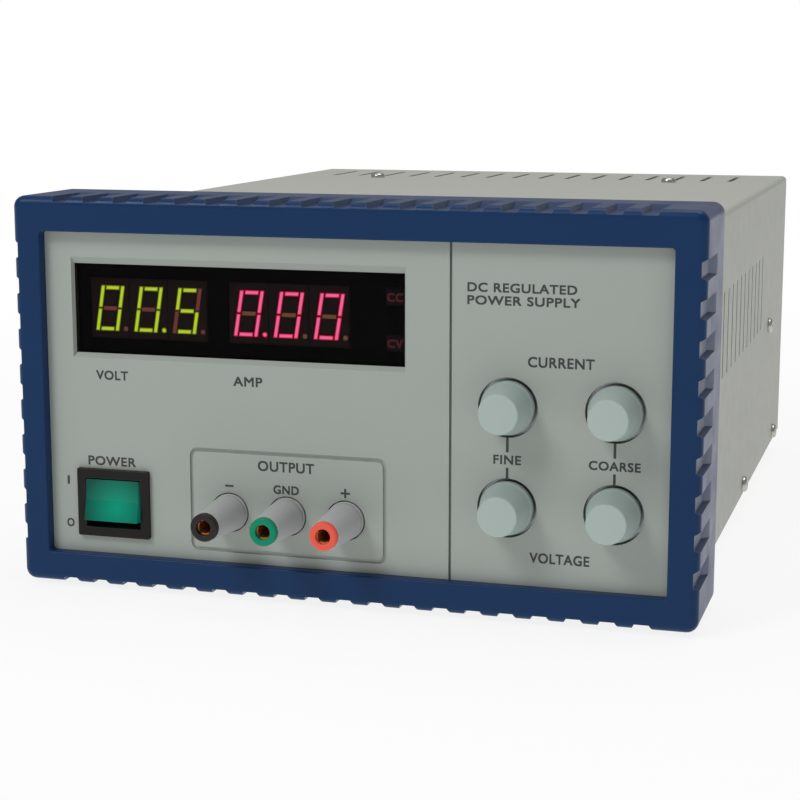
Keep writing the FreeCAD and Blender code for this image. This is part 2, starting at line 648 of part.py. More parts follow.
def cover_screws():
    screws = []
    for y, z in COVER_SCREWS_SIDE:
        screws.append(pan_screw((CASE_SIDE, y, z), (1, 0, 0), length=4.0))
        screws.append(pan_screw((-CASE_SIDE, y, z), (-1, 0, 0), length=4.0))
    for x, y in COVER_SCREWS_TOP:
        screws.append(pan_screw((x, y, CASE_TOP), (0, 0, 1), length=3.2))
    return screws


def rubber_foot(x, y):
    """Tapered foot with a recess for its screw."""
    cone = Part.makeCone(*FOOT_RADIUS, CASE_BOTTOM - BENCH, Vector(x, y, BENCH))
    recess = post(3.4, x, y, BENCH - 1, BENCH + FOOT_RECESS)
    return cone.cut([recess, post(TAPPED_HOLE, x, y, BENCH, CASE_BOTTOM + 1)])


def assembly_screws():
    """Screws of the feet, the moulded panel and the inlet."""
    screws = [pan_screw((x, y, BENCH + FOOT_RECESS), (0, 0, -1), length=FOOT_SCREW) for x, y in FEET]
    screws += [pan_screw((x, SUB_PANEL[1], z), (0, 1, 0), shank=PANEL_SCREW_SHANK, length=3.0)
               for x, z in PANEL_SCREWS]
    screws += [pan_screw((INLET_X + x, INLET_FACE, INLET_SCREW_Z), (0, 1, 0), head=2.4, length=6.0)
               for x in (-INLET_SCREW_X, INLET_SCREW_X)]
    return screws


# ---- Transformer ---------------------------------------------------------------------------
def transformer_windows():
    z0, z1 = CORE_Z[0] + LEG, CORE_Z[1] - LEG
    return [block(CORE_X + x, CORE_X + x + LEG, CORE_Y[0] - 1, CORE_Y[1] + 1, z0, z1)
            for x in (-2 * LEG, LEG)]


def transformer_core():
    core = block(CORE_X - 3 * LEG, CORE_X + 3 * LEG, CORE_Y[0], CORE_Y[1], CORE_Z[0], CORE_Z[1])
    return core.cut(transformer_windows())


def transformer_winding():
    """Copper and tape round the centre leg, filling both windows."""
    gap = 0.3
    z0, z1 = CORE_Z[0] + LEG + gap, CORE_Z[1] - LEG - gap
    half = 2 * LEG - gap
    outer = block(CORE_X - half, CORE_X + half, CORE_Y[0] - LEG, CORE_Y[1] + LEG, z0, z1)
    long_edges = [e for e in outer.Edges if e.BoundBox.ZLength > 20]
    outer = outer.makeFillet(6.0, long_edges)
    leg = block(CORE_X - LEG - gap, CORE_X + LEG + gap, CORE_Y[0] - gap, CORE_Y[1] + gap, z0 - 1, z1 + 1)
    return outer.cut(leg)


def transformer_bracket():
    """Steel strap over the core with a foot at each side."""
    y0, y1 = CORE_Y[0] + 6, CORE_Y[1] - 6
    thick = 1.5
    foot = 9.0
    inside = 3 * LEG + 0.1
    outside = inside + thick
    floor = CHASSIS_FLOOR
    top = CORE_Z[1] + 0.1
    strap = block(CORE_X - outside, CORE_X + outside, y0, y1, floor, top + thick)
    strap = strap.cut(block(CORE_X - inside, CORE_X + inside, y0 - 1, y1 + 1, floor - 1, top))
    for x0, x1 in ((CORE_X - outside - foot, CORE_X - inside - 0.1),
                   (CORE_X + inside + 0.1, CORE_X + outside + foot)):
        strap = strap.fuse(block(x0, x1, y0, y1, floor, floor + thick))
    return strap.removeSplitter()


# ---- Main board, heatsink and fan ----------------------------------------------------------
def main_board():
    x0, x1, y0, y1 = BOARD
    return block(x0, x1, y0, y1, BOARD_Z, BOARD_Z + BOARD_THICKNESS)


def board_spacers():
    x0, x1, y0, y1 = BOARD
    corners = [(x, y) for x in (x0 + 5, x1 - 5) for y in (y0 + 5, y1 - 5)]
    return meter_spacers() + [post(3.0, x, y, CHASSIS_FLOOR, BOARD_Z) for x, y in corners]


def filter_capacitors():
    radius, top = CAPACITOR
    return [post(radius, x, y, BOARD_Z + BOARD_THICKNESS, BOARD_Z + top)
            for x in (28.0, 58.0) for y in (92.0, 122.0)]


def heatsink():
    x0, x1, z0, z1 = HEATSINK
    sink = block(x0, x1, HEATSINK_PLATE[0], HEATSINK_PLATE[1], z0, z1)
    fins = [block(x - 1, x + 1, HEATSINK_PLATE[1] - 0.1, HEATSINK_BACK, z0, z1)
            for x in spaced(HEATSINK_FINS, 8.0, (x0 + x1) / 2)]
    return sink.multiFuse(fins).removeSplitter()


def heatsink_bracket():
    """Cross strap under the cover's top, folded down at both sides."""
    y0, y1 = BRACKET_Y
    outside = CHASSIS_SIDE
    thick = BRACKET_THICKNESS
    top = CASE_TOP - SHEET - 0.1
    strap = prism(-outside, outside, 50, top, y0, y1, FOLD - SHEET + 0.2)
    strap = strap.cut(block(-outside + thick, outside - thick, y0 - 1, y1 + 1, 40, top - thick))
    y, z = COVER_SCREWS_SIDE[3]
    holes = [bar(TAPPED_HOLE, y, z, -WIDTH, WIDTH)]
    holes += [post(TAPPED_HOLE, x, y_hole, CASE_TOP - 20, BEYOND) for x, y_hole in COVER_SCREWS_TOP]
    return strap.cut(holes)


def power_semiconductors():
    """Four pass transistors and a bridge rectifier on the heatsink's front face."""
    y1 = HEATSINK_PLATE[0]
    pieces = [block(x - 8, x + 8, y1 - 5, y1, 70, 91) for x in spaced(4, 22.0, 22.0)]
    return pieces + [block(8, 36, y1 - 7, y1, 30, 58)]


def fan_corners():
    return [(FAN_X + x, FAN_Z + z) for x in (-FAN_BOLT, FAN_BOLT) for z in (-FAN_BOLT, FAN_BOLT)]


def fan_frame():
    """Square frame with a round air way and a motor cup on four struts."""
    half = FAN_SIZE / 2
    y0, y1 = FAN_FRONT, REAR_PANEL[0] - 0.1
    frame = prism(FAN_X - half, FAN_X + half, FAN_Z - half, FAN_Z + half, y0, y1, 3.0)
    frame = frame.cut([rod(FAN_AIRWAY, FAN_X, FAN_Z, y0 - 1, y1 + 1)]
                      + [rod(FAN_BOLT_HOLE, x, z, y0 - 1, y1 + 1) for x, z in fan_corners()])
    for angle in (45, 135, 225, 315):
        strut = block(FAN_X + 9, FAN_X + FAN_AIRWAY + 0.4, y1 - 1.6, y1, FAN_Z - 1.2, FAN_Z + 1.2)
        strut.rotate(Vector(FAN_X, 0, FAN_Z), Vector(0, 1, 0), angle)
        frame = frame.fuse(strut)
    frame = frame.fuse(rod(11.0, FAN_X, FAN_Z, y1 - 3.0, y1)).removeSplitter()
    return frame.cut(rod(FAN_AXLE + RUNNING_GAP, FAN_X, FAN_Z, y1 - 4.0, y1 - 1.0))


def fan_blade(angle):
    """Flat blade, set at a pitch and reaching out from the hub."""
    blade = block(12, 27.4, -0.5, 0.5, -8, 8)
    blade.rotate(Vector(0, 0, 0), Vector(1, 0, 0), FAN_BLADE_PITCH)
    blade.translate(Vector(FAN_X, FAN_MIDDLE, FAN_Z))
    blade.rotate(Vector(FAN_X, FAN_MIDDLE, FAN_Z), Vector(0, 1, 0), angle)
    return blade


def fan_rotor():
    hub = rod(12.8, FAN_X, FAN_Z, 276.5, 285.8)
    axle = rod(FAN_AXLE, FAN_X, FAN_Z, 285, 288.6)
    hub = hub.fuse([fan_blade(360 / FAN_BLADES * i) for i in range(FAN_BLADES)] + [axle])
    return hub.removeSplitter()


def fan_guard():
    """Wire rings on crossed wires, held by four corner eyes."""
    y = REAR_PANEL[1] + 1.7
    wire = 0.75
    pieces = [Part.makeTorus(radius, wire, Vector(FAN_X, y - 0.5, FAN_Z), Vector(0, 1, 0))
              for radius in (9.0, 16.0, 23.0, 30.0)]
    reach = FAN_BOLT * math.sqrt(2)
    for angle in (45, 135, 225, 315):
        spoke = Part.makeCylinder(wire, reach - 9 - 2.4, Vector(FAN_X + 9, y, FAN_Z), Vector(1, 0, 0))
        spoke.rotate(Vector(FAN_X, y, FAN_Z), Vector(0, 1, 0), angle)
        pieces.append(spoke)
    guard = pieces[0].multiFuse(pieces[1:])
    for x, z in fan_corners():
        guard = guard.fuse(rod(3.6, x, z, y - 1.7, y + 0.7))
    return guard.cut([rod(FAN_BOLT_HOLE, x, z, y - 3, y + 3) for x, z in fan_corners()])


def fan_screws():
    return [pan_screw((x, REAR_PANEL[1] + 2.4, z), (0, 1, 0), head=3.4, shank=2.0, length=14.0)
            for x, z in fan_corners()]


# ---- Mains inlet and voltage selector ------------------------------------------------------
def plug_well():
    """Well for a mains lead's connector: a rectangle with two cut upper corners."""
    width, z0, z1, y0 = PLUG_WELL
    half, cut = width / 2, 4.0
    outline = [(-half, z0), (half, z0), (half, z1 - cut), (half - cut, z1), (cut - half, z1),
               (-half, z1 - cut)]
    points = [Vector(INLET_X + x, y0, z) for x, z in outline]
    return Part.Face(Part.makePolygon(points + points[:1])).extrude(Vector(0, INLET_FACE + 1 - y0, 0))


def blade_places():
    """Pin centres: line and neutral below, earth above."""
    return [(INLET_X - 7, 34.2), (INLET_X + 7, 34.2), (INLET_X, 38.2)]


def mains_inlet():
    z0, z1 = INLET_BODY_Z
    body = block(INLET_X - INLET_HALF, INLET_X + INLET_HALF, 264, INLET_FACE, z0, z1)
    flange = prism(INLET_X - 25, INLET_X + 25, z0 - 1, z1 + 1, REAR_PANEL[1], INLET_FACE, 3.0)
    inlet = body.fuse(flange).removeSplitter()
    drawer_way = block(INLET_X - 6.3, INLET_X + 6.3, DRAWER_FRONT - 0.5, INLET_FACE + 1,
                       DRAWER_Z[0] - 0.3, DRAWER_Z[1] + 0.3)
    holes = [rod(1.7, INLET_X + x, INLET_SCREW_Z, REAR_PANEL[0], INLET_FACE + 1)
             for x in (-INLET_SCREW_X, INLET_SCREW_X)]
    slots = [block(x - 1, x + 1, 260, 280, z - 2, z + 2) for x, z in blade_places()]
    return inlet.cut([plug_well(), drawer_way] + holes + slots)


def inlet_blades():
    return [block(x - 1, x + 1, 255, 290, z - 2, z + 2) for x, z in blade_places()]


def fuse_drawer():
    """Small tray that slides out rearwards with the fuse lying in its trough."""
    z0, z1 = DRAWER_Z
    tray = block(INLET_X - 6, INLET_X + 6, DRAWER_FRONT, INLET_FACE + 0.2, z0, z1)
    face = prism(INLET_X - 8, INLET_X + 8, z0 - 0.8, z1 + 0.8, INLET_FACE + 0.1, REARMOST, 1.0)
    trough = rod(FUSE + 0.2, INLET_X, FUSE_Z, 272.5, 293).fuse(
        block(INLET_X - FUSE - 0.2, INLET_X + FUSE + 0.2, 272.5, 293, FUSE_Z, z1 + 1))
    return tray.fuse(face).removeSplitter().cut(trough)


def mains_fuse():
    return rod(FUSE, INLET_X, FUSE_Z, 272.7, 292.7)


def voltage_selector():
    x, z = SELECTOR
    body_x, body_z = SELECTOR_HALF
    body = block(x - body_x, x + body_x, 279, SELECTOR_FRONT, z - body_z, z + body_z)
    frame = prism(x - 16, x + 16, z - 8, z + 8, REAR_PANEL[1], SELECTOR_FRONT, 1.5)
    half_x, half_z = SELECTOR_WELL
    well = block(x - half_x, x + half_x, 284, SELECTOR_FRONT + 1, z - half_z, z + half_z)
    return body.fuse(frame).removeSplitter().cut(well)


def selector_slide():
    """Slider at the left of its well, with a slot for a screwdriver."""
    x, z = SELECTOR
    centre = x - SLIDER_TRAVEL / 2
    slide = block(centre - SLIDER_HALF, centre + SLIDER_HALF, 284.1, 291.6, z - 3.1, z + 3.1)
    return slide.cut(block(centre - 0.6, centre + 0.6, 290.2, 293, z - 4, z + 4))


# ---- All nodes -----------------------------------------------------------------------------
def all_nodes():
    nodes = {
        "front_bumper": front_bumper(),
        "front_panel": front_panel(),
        "display_window": display_window(),
        "sub_panel": sub_panel(),
        "chassis": chassis(),
        "top_cover": top_cover(),
        "rear_panel": rear_panel(),
        "rubber_feet": [rubber_foot(x, y) for x, y in FEET],
        "cover_screws": cover_screws(),
        "assembly_screws": assembly_screws(),
        "rocker_housing": rocker_housing(),
        "power_rocker": power_rocker(),
        "rocker_terminals": rocker_terminals(),
        "volt_digits": digits(VOLT_CENTRE),
        "amp_digits": digits(AMP_CENTRE),
        "status_lamps": status_lamps(),
        "meter_board": meter_board(),
        "board_spacers": board_spacers(),
        "potentiometer_bodies": [potentiometer(x, z) for x, z in KNOBS.values()],
        "potentiometer_nuts": [potentiometer_nut(x, z) for x, z in KNOBS.values()],
        "post_insulators": post_insulators(),
        "post_nuts": post_nuts(),
        "transformer_core": transformer_core(),
        "transformer_winding": transformer_winding(),
        "transformer_bracket": transformer_bracket(),
        "main_board": main_board(),
        "filter_capacitors": filter_capacitors(),
        "heatsink": heatsink(),
        "heatsink_bracket": heatsink_bracket(),
        "power_semiconductors": power_semiconductors(),
        "fan_frame": fan_frame(),
        "fan_rotor": fan_rotor(),
        "fan_guard": fan_guard(),
        "fan_screws": fan_screws(),
        "mains_inlet": mains_inlet(),
        "inlet_blades": inlet_blades(),
        "fuse_drawer": fuse_drawer(),
        "mains_fuse": mains_fuse(),
        "voltage_selector": voltage_selector(),
        "selector_slide": selector_slide(),
    }
    for name, (x, z) in KNOBS.items():
        nodes[name + "_knob"] = knob(x, z)
        nodes[name + "_shaft"] = knob_shaft(x, z)
    for name, x in POSTS.items():
        nodes[name + "_post_stem"] = post_stem(x)
        nodes[name + "_post_cap"] = post_cap(x)
        nodes[name + "_post_tip"] = post_tip(x)
        nodes[name + "_clamp_washer"] = clamp_washer(x)
    return nodes


def export(name, shape):
    """Write one node; a list of solids goes into one file as separate solids."""
    solids = [s for piece in (shape if isinstance(shape, list) else [shape]) for s in piece.Solids]
    bad = [s for s in solids if not (s.isValid() and s.isClosed() and s.Volume > 0)]
    if bad or not solids:
        raise ValueError(name + " has a solid that isn't closed and valid")
    node = Part.makeCompound(solids) if len(solids) > 1 else solids[0]
    node.translate(Vector(0, -ORIGIN_Y, -BENCH))
    node.exportStep(os.path.join("parts", name + ".step"))
    return len(solids), node.BoundBox


os.makedirs("parts", exist_ok=True)
whole = FreeCAD.BoundBox()
for node_name, node_shape in all_nodes().items():
    count, box = export(node_name, node_shape)
    whole.add(box)
    print("%-24s %3d solid(s)  %.1f x %.1f x %.1f" % (node_name, count, box.XLength, box.YLength, box.ZLength))
print("whole object:", whole)
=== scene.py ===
import json
import math

import bmesh
import bpy
from mathutils import Matrix, Vector


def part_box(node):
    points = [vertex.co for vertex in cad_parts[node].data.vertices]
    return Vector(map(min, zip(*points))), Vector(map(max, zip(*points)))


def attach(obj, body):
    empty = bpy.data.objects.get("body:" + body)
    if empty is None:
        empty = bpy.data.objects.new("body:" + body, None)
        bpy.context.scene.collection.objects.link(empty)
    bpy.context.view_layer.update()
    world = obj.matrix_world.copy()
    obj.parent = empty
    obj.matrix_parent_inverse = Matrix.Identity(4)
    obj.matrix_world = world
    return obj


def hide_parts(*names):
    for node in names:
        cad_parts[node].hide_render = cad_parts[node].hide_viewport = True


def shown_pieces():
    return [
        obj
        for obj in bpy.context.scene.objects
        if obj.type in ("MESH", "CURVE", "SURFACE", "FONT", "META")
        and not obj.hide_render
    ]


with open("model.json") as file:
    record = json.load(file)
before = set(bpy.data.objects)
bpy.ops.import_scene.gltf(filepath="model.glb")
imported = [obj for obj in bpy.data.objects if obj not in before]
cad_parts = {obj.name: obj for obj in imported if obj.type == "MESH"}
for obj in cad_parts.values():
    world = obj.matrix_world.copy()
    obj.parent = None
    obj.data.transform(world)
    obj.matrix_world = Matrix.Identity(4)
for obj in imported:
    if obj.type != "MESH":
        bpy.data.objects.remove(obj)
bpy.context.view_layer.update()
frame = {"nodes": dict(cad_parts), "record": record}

# Looks of a bench power supply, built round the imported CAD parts. Lengths are metres in the row
# frame: x to the right seen from the front, y rearwards, z up from the bench. The front faces -y.

BODY_OF = {node: body for body, nodes in frame["record"]["behaviour"]["bodies"].items() for node in nodes}
SLOT_OF = {part["node"]: part["material_slot"] for part in frame["record"]["subparts"]}

PANEL_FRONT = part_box("front_panel")[0].y
KNOB_NAMES = ("current_fine", "current_coarse", "voltage_fine", "voltage_coarse")
POST_NAMES = ("negative", "ground", "positive")


def centre_of(node):
    low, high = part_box(node)
    return (low + high) / 2


# ---- Colours -------------------------------------------------------------------------------
def colour(code):
    """Linear colour from a web colour such as 8FA0B0."""
    channels = [int(code[i:i + 2], 16) / 255 for i in (0, 2, 4)]
    linear = [c / 12.92 if c <= 0.04045 else ((c + 0.055) / 1.055) ** 2.4 for c in channels]
    return (*linear, 1.0)


# ---- Material building blocks --------------------------------------------------------------
def surface(name, base, roughness, **sockets):
    """New material; each keyword names a socket of its shader, with _ for a space."""
    made = bpy.data.materials.new(name)
    made.use_nodes = True
    shader = made.node_tree.nodes["Principled BSDF"]
    shader.inputs["Base Color"].default_value = colour(base)
    shader.inputs["Roughness"].default_value = roughness
    for socket, value in sockets.items():
        shader.inputs[socket.replace("_", " ")].default_value = value
    return made


def shader_of(made):
    return made.node_tree.nodes["Principled BSDF"]


def coordinates(made, stretch=(1, 1, 1)):
    """Position on the object in metres, scaled along each axis."""
    tree = made.node_tree
    source = tree.nodes.new("ShaderNodeTexCoord")
    mapping = tree.nodes.new("ShaderNodeMapping")
    mapping.inputs["Scale"].default_value = stretch
    tree.links.new(source.outputs["Object"], mapping.inputs["Vector"])
    return mapping.outputs["Vector"]


def noise(made, size, detail=3.0, stretch=(1, 1, 1)):
    """Cloudy pattern with features about size metres across."""
    node = made.node_tree.nodes.new("ShaderNodeTexNoise")
    node.inputs["Scale"].default_value = 1 / size
    node.inputs["Detail"].default_value = detail
    made.node_tree.links.new(coordinates(made, stretch), node.inputs["Vector"])
    return node.outputs["Fac"]


def pebbles(made, size):
    """Rounded cells about size metres across, as on a textured paint."""
    node = made.node_tree.nodes.new("ShaderNodeTexVoronoi")
    node.feature = "SMOOTH_F1"
    node.inputs["Scale"].default_value = 1 / size
    made.node_tree.links.new(coordinates(made), node.inputs["Vector"])
    return node.outputs["Distance"]


def stripes(made, size, axis):
    """Regular ridges of this spacing along an axis."""
    node = made.node_tree.nodes.new("ShaderNodeTexWave")
    node.bands_direction = axis
    node.inputs["Scale"].default_value = math.tau / 20 / size
    made.node_tree.links.new(coordinates(made), node.inputs["Vector"])
    return node.outputs["Fac"]


def edges(made, radius=0.0004):
    """Mask that is bright within this radius of an edge, for the painted highlight and the worn coat on
    edges.
    """
    tree = made.node_tree
    source = tree.nodes.new("ShaderNodeNewGeometry")
    bevel = tree.nodes.new("ShaderNodeBevel")
    bevel.inputs["Radius"].default_value = radius
    dot = tree.nodes.new("ShaderNodeVectorMath")
    dot.operation = "DOT_PRODUCT"
    tree.links.new(source.outputs["Normal"], dot.inputs[0])
    tree.links.new(bevel.outputs["Normal"], dot.inputs[1])
    return stretched(made, dot.outputs["Value"], 0.99, 0.85)


def nearness(made, point, near, far):
    """Mask that fades from 1 to 0 as the distance to a point on the object goes from near to far."""
    node = made.node_tree.nodes.new("ShaderNodeVectorMath")
    node.operation = "DISTANCE"
    node.inputs[1].default_value = point
    made.node_tree.links.new(coordinates(made), node.inputs[0])
    return stretched(made, node.outputs["Value"], far, near)


def stretched(made, mask, low, high, to_low=0.0, to_high=1.0):
    """The mask's stretch from low to high, spread over to_low to to_high and clamped."""
    node = made.node_tree.nodes.new("ShaderNodeMapRange")
    node.inputs["From Min"].default_value = low
    node.inputs["From Max"].default_value = high
    node.inputs["To Min"].default_value = to_low
    node.inputs["To Max"].default_value = to_high
    made.node_tree.links.new(mask, node.inputs["Value"])
    return node.outputs["Result"]


def tinted(made, mask, code, amount):
    """Lets another colour show through the base where the mask is bright."""
    tree = made.node_tree
    base = shader_of(made).inputs["Base Color"]
    mix = tree.nodes.new("ShaderNodeMix")
    mix.data_type = "RGBA"
    factor, first, second = mix.inputs[0], mix.inputs[6], mix.inputs[7]
    if base.is_linked:
        tree.links.new(base.links[0].from_socket, first)
    else:
        first.default_value = base.default_value
    second.default_value = colour(code)
    tree.links.new(stretched(made, mask, 0, 1, 0, amount), factor)
    tree.links.new(mix.outputs[2], base)
    return made


def roughened(made, mask, low, high):
    """Roughness from low to high as the mask goes from dark to bright."""
    spread = stretched(made, mask, 0.25, 0.75, low, high)
    made.node_tree.links.new(spread, shader_of(made).inputs["Roughness"])
    return made


def raised(made, mask, height):
    """Relief of this height in metres, on top of any relief already there."""
    tree = made.node_tree
    normal = shader_of(made).inputs["Normal"]
    bump = tree.nodes.new("ShaderNodeBump")
    bump.inputs["Distance"].default_value = height
    tree.links.new(mask, bump.inputs["Height"])
    if normal.is_linked:
        tree.links.new(normal.links[0].from_socket, bump.inputs["Normal"])
    tree.links.new(bump.outputs["Normal"], normal)
    return made


def moulded(name, base, shade, roughness, grain=0.0005, relief=0.00001, **sockets):
    """Moulded plastic or rubber: fine grain, slow drift of tone, uneven gloss, edges lightened with white as
    a painted highlight.
    """
    made = surface(name, base, roughness, **sockets)
    tinted(made, noise(made, 0.035), shade, 0.35)
    # Painted highlight: white on the edges.
    tinted(made, edges(made), "FFFFFF", 0.05)
    roughened(made, noise(made, 0.012), roughness - 0.06, roughness + 0.08)
    return raised(made, noise(made, grain, detail=2), relief)


def painted(name, base, shade, roughness, cell, relief, **sockets):
    """Powder coat: pebbled texture over sheet metal, its edges paler, partly where the coat wears thin and
    partly as a painted highlight.
    """
    made = surface(name, base, roughness, **sockets)
    tinted(made, noise(made, 0.05), shade, 0.4)
    # Paler edges: worn thin coat and painted highlight.
    tinted(made, edges(made), "D5D6D2", 0.2)
    roughened(made, noise(made, 0.006), roughness - 0.07, roughness + 0.09)
    raised(made, pebbles(made, cell), relief)
    return raised(made, noise(made, cell * 4), relief)


def plated(name, base, shade, roughness, stretch=(1, 1, 1), relief=0.000004, **sockets):
    """Bare or plated metal with drawn or brushed marks along the stretched axis."""
    made = surface(name, base, roughness, Metallic=1.0, **sockets)
    tinted(made, noise(made, 0.004, stretch=stretch), shade, 0.6)
    roughened(made, noise(made, 0.0015, stretch=stretch), roughness - 0.08, roughness + 0.12)
    return raised(made, noise(made, 0.0004, stretch=stretch), relief)


def lit(name, base, glow, strength):
    """Light-emitting plastic, its colour slightly uneven."""
    made = surface(name, base, 0.4, Emission_Strength=strength)
    shader = shader_of(made)
    tree = made.node_tree
    mix = tree.nodes.new("ShaderNodeMix")
    mix.data_type = "RGBA"
    mix.inputs[6].default_value = colour(glow)
    mix.inputs[7].default_value = colour(base)
    tree.links.new(noise(made, 0.0008), mix.inputs["Factor"])
    tree.links.new(mix.outputs[2], shader.inputs["Emission Color"])
    return made


# ---- Materials -----------------------------------------------------------------------------
ROCKER_LAMP_ACROSS = 0.59     # where the rocker's lamp shows, as shares of its width and height
ROCKER_LAMP_DOWN = 0.62


def bumper_rubber():
    """Dark blue moulding with a satin skin that pales when seen at a grazing angle."""
    made = moulded("bumper_rubber", "06305A", "052B53", 0.36, grain=0.0006, relief=0.000010,
                   Sheen_Weight=0.22, Sheen_Roughness=0.25, Specular_IOR_Level=0.2)
    shader_of(made).inputs["Sheen Tint"].default_value = colour("C9C4D6")
    return made


def meter_lens():
    made = surface("meter_lens", "050404", 0.06, Alpha=0.45, Specular_IOR_Level=0.04)
    tinted(made, noise(made, 0.02), "0C080A", 0.5)
    return roughened(made, noise(made, 0.004), 0.03, 0.09)


def circuit_board():
    """Solder mask with paler copper tracks under it."""
    made = surface("circuit_board", "145A33", 0.35)
    tracks = stretched(made, noise(made, 0.006, detail=0, stretch=(1, 0.25, 1)), 0.5, 0.52)
    tinted(made, tracks, "2C8A52", 0.7)
    roughened(made, noise(made, 0.003), 0.28, 0.45)
    return raised(made, tracks, 0.00004)


def switch_green():
    """Translucent green plastic, lit by a lamp behind the lower right of the rocker."""
    made = surface("switch_green", "004A40", 0.3, Emission_Strength=0.42, Specular_IOR_Level=0.2)
    low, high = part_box("power_rocker")
    size = high - low
    lamp = (low.x + ROCKER_LAMP_ACROSS * size.x, low.y, high.z - ROCKER_LAMP_DOWN * size.z)
    glow = nearness(made, lamp, 0.001, 0.012)
    tree = made.node_tree
    mix = tree.nodes.new("ShaderNodeMix")
    mix.data_type = "RGBA"
    mix.inputs[6].default_value = colour("002A26")
    mix.inputs[7].default_value = colour("00BE94")
    tree.links.new(glow, mix.inputs[0])
    tree.links.new(mix.outputs[2], shader_of(made).inputs["Emission Color"])
    tinted(made, noise(made, 0.006), "003C34", 0.5)
    roughened(made, noise(made, 0.002), 0.22, 0.36)
    return raised(made, noise(made, 0.0012), 0.00001)


def core_steel():
    made = surface("core_steel", "3A3A3D", 0.5, Metallic=0.7)
    sheets = stripes(made, 0.001, "Y")
    tinted(made, sheets, "1C1C1E", 0.7)
    tinted(made, noise(made, 0.01), "6A5A45", 0.2)
    roughened(made, noise(made, 0.004), 0.4, 0.65)
    return raised(made, sheets, 0.0001)


def winding():
    """Amber tape in turns over copper."""
    made = surface("winding", "C89020", 0.3, Coat_Weight=0.4)
    turns = stripes(made, 0.006, "Z")
    tinted(made, turns, "A06C10", 0.6)
    roughened(made, noise(made, 0.004), 0.22, 0.42)
    return raised(made, turns, 0.0002)


def capacitor_sleeve():
    """Dark shrink sleeve with paler bands round it."""
    made = surface("capacitor_sleeve", "10131E", 0.25)
    tinted(made, stretched(made, stripes(made, 0.009, "Z"), 0.7, 0.75), "2C3244", 0.6)
    roughened(made, noise(made, 0.003), 0.18, 0.34)
    return raised(made, noise(made, 0.002), 0.00003)


def fuse_glass():
    made = surface("fuse_glass", "DDE6E4", 0.05, Alpha=0.45)
    tinted(made, noise(made, 0.004), "B9C4C2", 0.4)
    return roughened(made, noise(made, 0.002), 0.03, 0.1)


def printed_ink(name, base):
    made = surface(name, base, 0.55)
    tinted(made, noise(made, 0.0006), "6A706C", 0.25)
    roughened(made, noise(made, 0.001), 0.48, 0.65)
    return raised(made, noise(made, 0.0003), 0.000004)


MATERIALS = {
    "bumper_rubber": bumper_rubber(),
    "panel_plastic": moulded("panel_plastic", "A3AAA3", "9AA19A", 0.55, grain=0.0004, relief=0.000006),
    "case_paint": painted("case_paint", "B0B2AA", "A8AAA2", 0.55, 0.0007, 0.000012),
    "meter_lens": meter_lens(),
    "volt_led": moulded("volt_led", "4A302C", "402A27", 0.45),
    "amp_led": moulded("amp_led", "482C2C", "3E2627", 0.45),
    "lamp": moulded("lamp", "140F10", "0E0B0C", 0.45),
    "circuit_board": circuit_board(),
    "zinc_plate": plated("zinc_plate", "A9ADB0", "8F9498", 0.35, stretch=(1, 0.3, 1)),
    "screw_plate": plated("screw_plate", "C4C2BC", "A5A39D", 0.25),
    "foot_rubber": moulded("foot_rubber", "141414", "1F1F1F", 0.75, relief=0.00002),
    "switch_black": moulded("switch_black", "161413", "1C1918", 0.4, relief=0.000005, Specular_IOR_Level=0.2),
    "switch_green": switch_green(),
    "tinned_brass": plated("tinned_brass", "BDB59C", "9C947C", 0.3),
    "knob_plastic": moulded("knob_plastic", "AAB9B4", "A1B0AB", 0.45, grain=0.0004, relief=0.000006),
    "shaft_metal": plated("shaft_metal", "B5B5B5", "9A9A9A", 0.3),
    "potentiometer_case": moulded("potentiometer_case", "1A2030", "141926", 0.5),
    "post_metal": plated("post_metal", "E09A50", "C07838", 0.6),
    "post_grey": moulded("post_grey", "B4B5B6", "A8A9AB", 0.5, relief=0.000006),
    "post_black": moulded("post_black", "26221F", "1E1B19", 0.4, relief=0.000005, Specular_IOR_Level=0.25),
    "post_green": moulded("post_green", "008A66", "007A5A", 0.4, relief=0.000005, Specular_IOR_Level=0.2),
    "post_red": moulded("post_red", "EE604E", "E25242", 0.4, relief=0.000005, Specular_IOR_Level=0.25),
    "core_steel": core_steel(),
    "winding": winding(),
    "capacitor_sleeve": capacitor_sleeve(),
    "heatsink_black": moulded("heatsink_black", "1A1A1B", "262627", 0.4, Metallic=0.6),
    "device_black": moulded("device_black", "161617", "1F1F20", 0.5),
    "fan_black": moulded("fan_black", "171718", "202022", 0.5, relief=0.000015),
    "guard_wire": plated("guard_wire", "C6C6C4", "A2A2A0", 0.22),
    "inlet_black": moulded("inlet_black", "181818", "212121", 0.42),
    "selector_red": moulded("selector_red", "A01A14", "86140F", 0.4),
    "fuse_glass": fuse_glass(),
}
LEGEND_INK = printed_ink("legend_ink", "262B29")
RED_LEGEND = lit("red_legend", "A84450", "A03C48", 0.4)
VOLT_LIT = lit("volt_segment_lit", "DCF440", "D0F030", 1.9)
VOLT_EDGE = lit("volt_segment_edge", "A0B808", "90AC08", 1.3)
AMP_LIT = lit("amp_segment_lit", "FF80B4", "FF68A8", 2.3)
AMP_EDGE = lit("amp_segment_edge", "FF1858", "F00C48", 1.6)
# Unlit bars glow faintly: painted light for the light their pale faces give back.
VOLT_OFF_PAINTED_GLOW = lit("volt_segment_unlit_painted_glow", "A85A52", "98504A", 0.9)
AMP_OFF_PAINTED_GLOW = lit("amp_segment_unlit_painted_glow", "A87052", "98644A", 0.9)
MASK_BLACK = moulded("mask_black", "060606", "080808", 0.7, Specular_IOR_Level=0.1)


